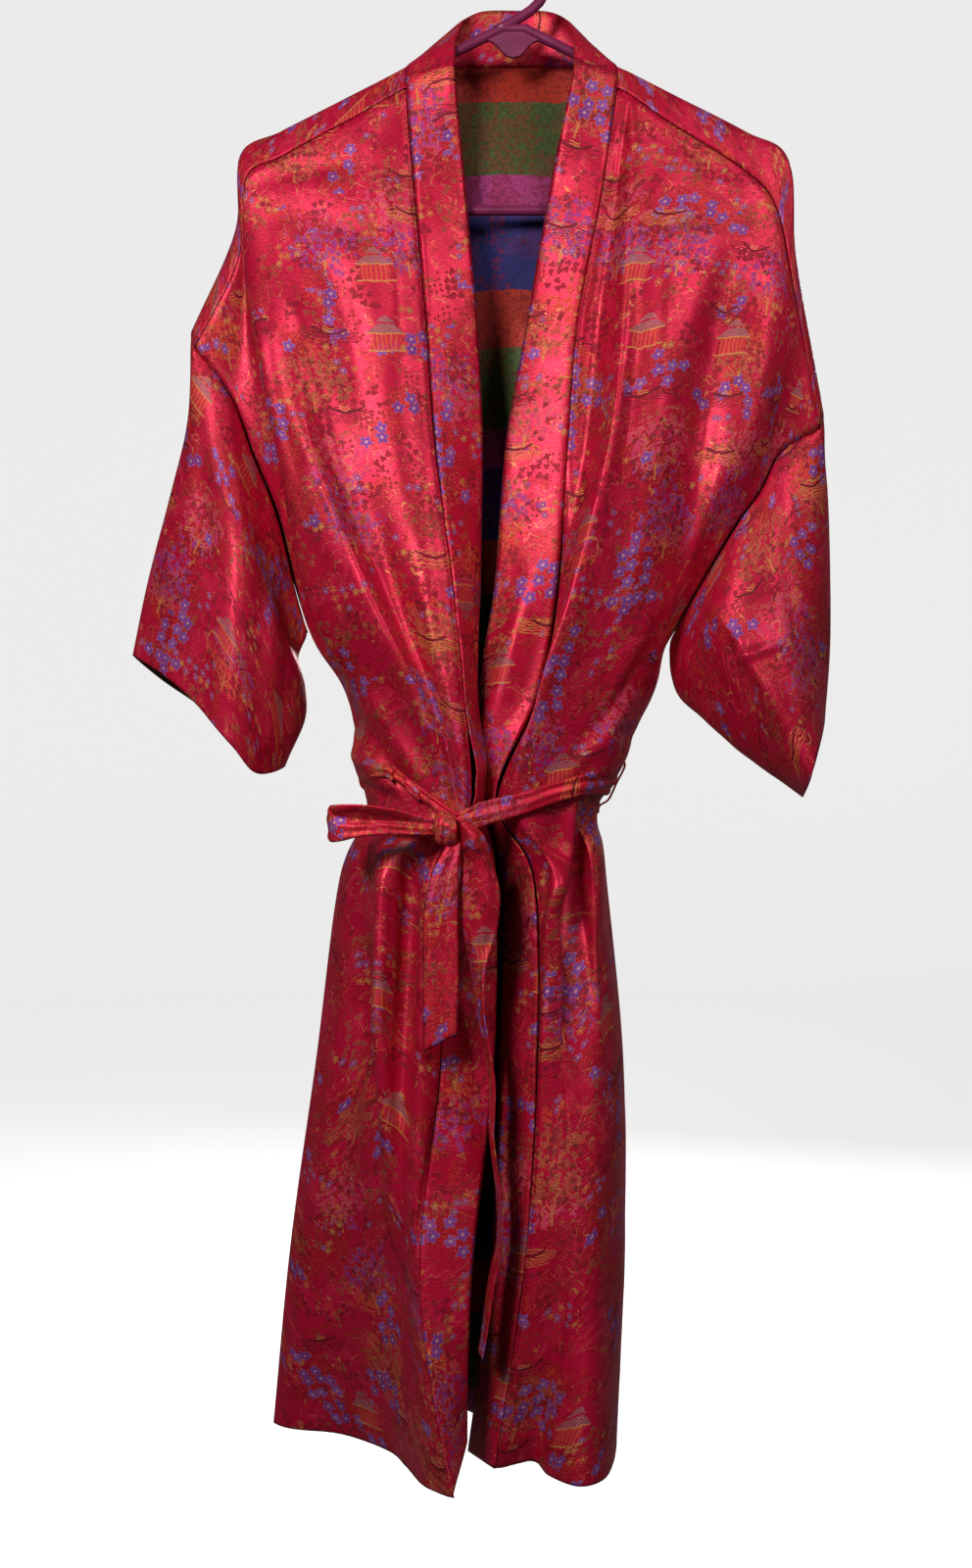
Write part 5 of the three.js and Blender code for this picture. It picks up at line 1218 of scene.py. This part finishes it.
# ---------------------------------------------------------------- short end of the sash
# Hangs from under the knot in front of the robe and widens to its full, pressed width.
SHORT_TAIL = [(-50, -40, 620, 620, -82), (-51.5, -40, 630.9, 630.9, -85), (-62, -42, 650, 646, -87),
              (-69.5, -42.5, 680, 676, -87), (-70, -42, 730, 724, -86), (-69, -43, 782, 769, -88)]
steps = np.linspace(0, len(SHORT_TAIL) - 1, 110)
tail_one = along(np.array([place(one, drop, y) for one, _, drop, _, y in SHORT_TAIL]), steps)
tail_two = along(np.array([place(two, drop, y) for _, two, _, drop, y in SHORT_TAIL]), steps)
tail_short = sash_strip("sash_tail_short_cloth", "sash_tail_short", tail_one, tail_two, seed=19.0,
                        folds=((0.3, 0.06, 0.7), (0.62, 0.16, -1.2)), v_from=560, height=0.8)

# ---------------------------------------------------------------- long end of the sash
# Comes over the knot's lower side in a full fold, then hangs folded lengthwise down to the skirt.
LONG_TAIL = [
    (614, (-44, -39, -34), (-82, -88, -84)), (622, (-43, -33, -24), (-82, -95, -88)),
    (631, (-42, -30, -19), (-80, -95, -88)), (643, (-40, -26, -16), (-78, -90, -84)),
    (666, (-42, -23, -10), (-77, -89, -83)), (693, (-41, -26, -12), (-76, -85, -81)),
    (722, (-33, -29, -21), (-72, -79, -86)), (755, (-28, -26, -22), (-64, -76, -88)),
    (805, (-19, -17, -14), (-62, -75, -88)), (846, (-18, -17, -15), (-63, -76, -89)),
    (884, (-13, -12, -10), (-62, -76, -89)), (920, (-12, -11, -9), (-62, -76, -89)),
    (954, (-19, -18, -15), (-62, -76, -89)), (981, (-23, -21, -19), (-62, -76, -88)),
    (1007, (-27, -25, -24), (-62, -75, -87))]
steps = np.linspace(0, len(LONG_TAIL) - 1, 230)
lines = np.array([[place(u[k], drop, y[k]) for k in range(3)] for drop, u, y in LONG_TAIL])
rows = along(lines, steps)
share = np.linspace(0, 1, 17)
middle = np.swapaxes(along(np.swapaxes(rows, 0, 1), 2 * share), 0, 1)
normal = outward(middle)
swell = 0.75 * np.sqrt(np.clip(1 - np.abs(2 * share - 1) ** 8, 0, 1))[None, :] * np.ones((230, 1))
swell[[0, -1]] = 0
middle = middle + normal * crushed(middle, 24.0, ((0.3, 0.1, 0.8), (0.78, 0.1, -0.7)), 0.6)[..., None]
front, behind = middle + normal * swell[..., None], middle - normal * swell[..., None]
points = np.concatenate([front, behind[:, ::-1][:, 1:]], axis=1)
down = np.repeat(lengths(middle, 0).mean(axis=1, keepdims=True), points.shape[1], axis=1)
flat = np.stack([lengths(points, 1), -down - 730], axis=-1)
tail_long = make_cloth("sash_tail_long_cloth", [(points, flat)], 0, materials=(sash_brocade,))
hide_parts("sash_tail_long")

# ---------------------------------------------------------------- belt loops
# A narrow strap of the same brocade stitched down each side seam, standing off over the sash.
for side, points in (("left", left_under), ("right", right_under)):
    sign = -1 if side == "left" else 1
    level = float(by_degrees(SASH_DROPS, sign * 90))
    seam = points[:, -1]
    at = lambda drop: np.array([np.interp(drop, -HOOK_DROP - seam[:, 2], seam[:, k]) for k in range(3)])
    middle_y = at(level)[1]
    on_sash = [(sign * edge[np.abs(edge[:, 1] - middle_y) < 8, 0]).max() + 1.9
               for edge in (ring_high, ring_low)]
    one, two = [], []
    for step in (-26, -20, -13, 0, 13, 18, 24):
        drop = level + step
        near = worn[(np.abs(worn[:, 1] - middle_y) < 6) & (np.abs(-HOOK_DROP - worn[:, 2] - drop) < 3)]
        reach = (sign * near[:, 0]).max() + 1.0
        reach = max(reach, np.interp(step, [-9, 9], on_sash)) if abs(step) < 15 else reach
        one.append((sign * reach, middle_y - 4.5, -HOOK_DROP - drop))
        two.append((sign * reach, middle_y + 4.5, -HOOK_DROP - drop))
    steps = np.linspace(0, 6, 60)
    strap_points, strap_flat = doubled_strip(along(np.array(one), steps), along(np.array(two), steps),
                                             1.2, 9, 0.2)
    if side == "left":
        strap_points, strap_flat = strap_points[:, ::-1], strap_flat[:, ::-1]
    strap = make_cloth(f"belt_loop_viewer_{side}_cloth", [(strap_points, strap_flat)], 0,
                       materials=(satin_brocade,))
    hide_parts(f"belt_loop_viewer_{side}")
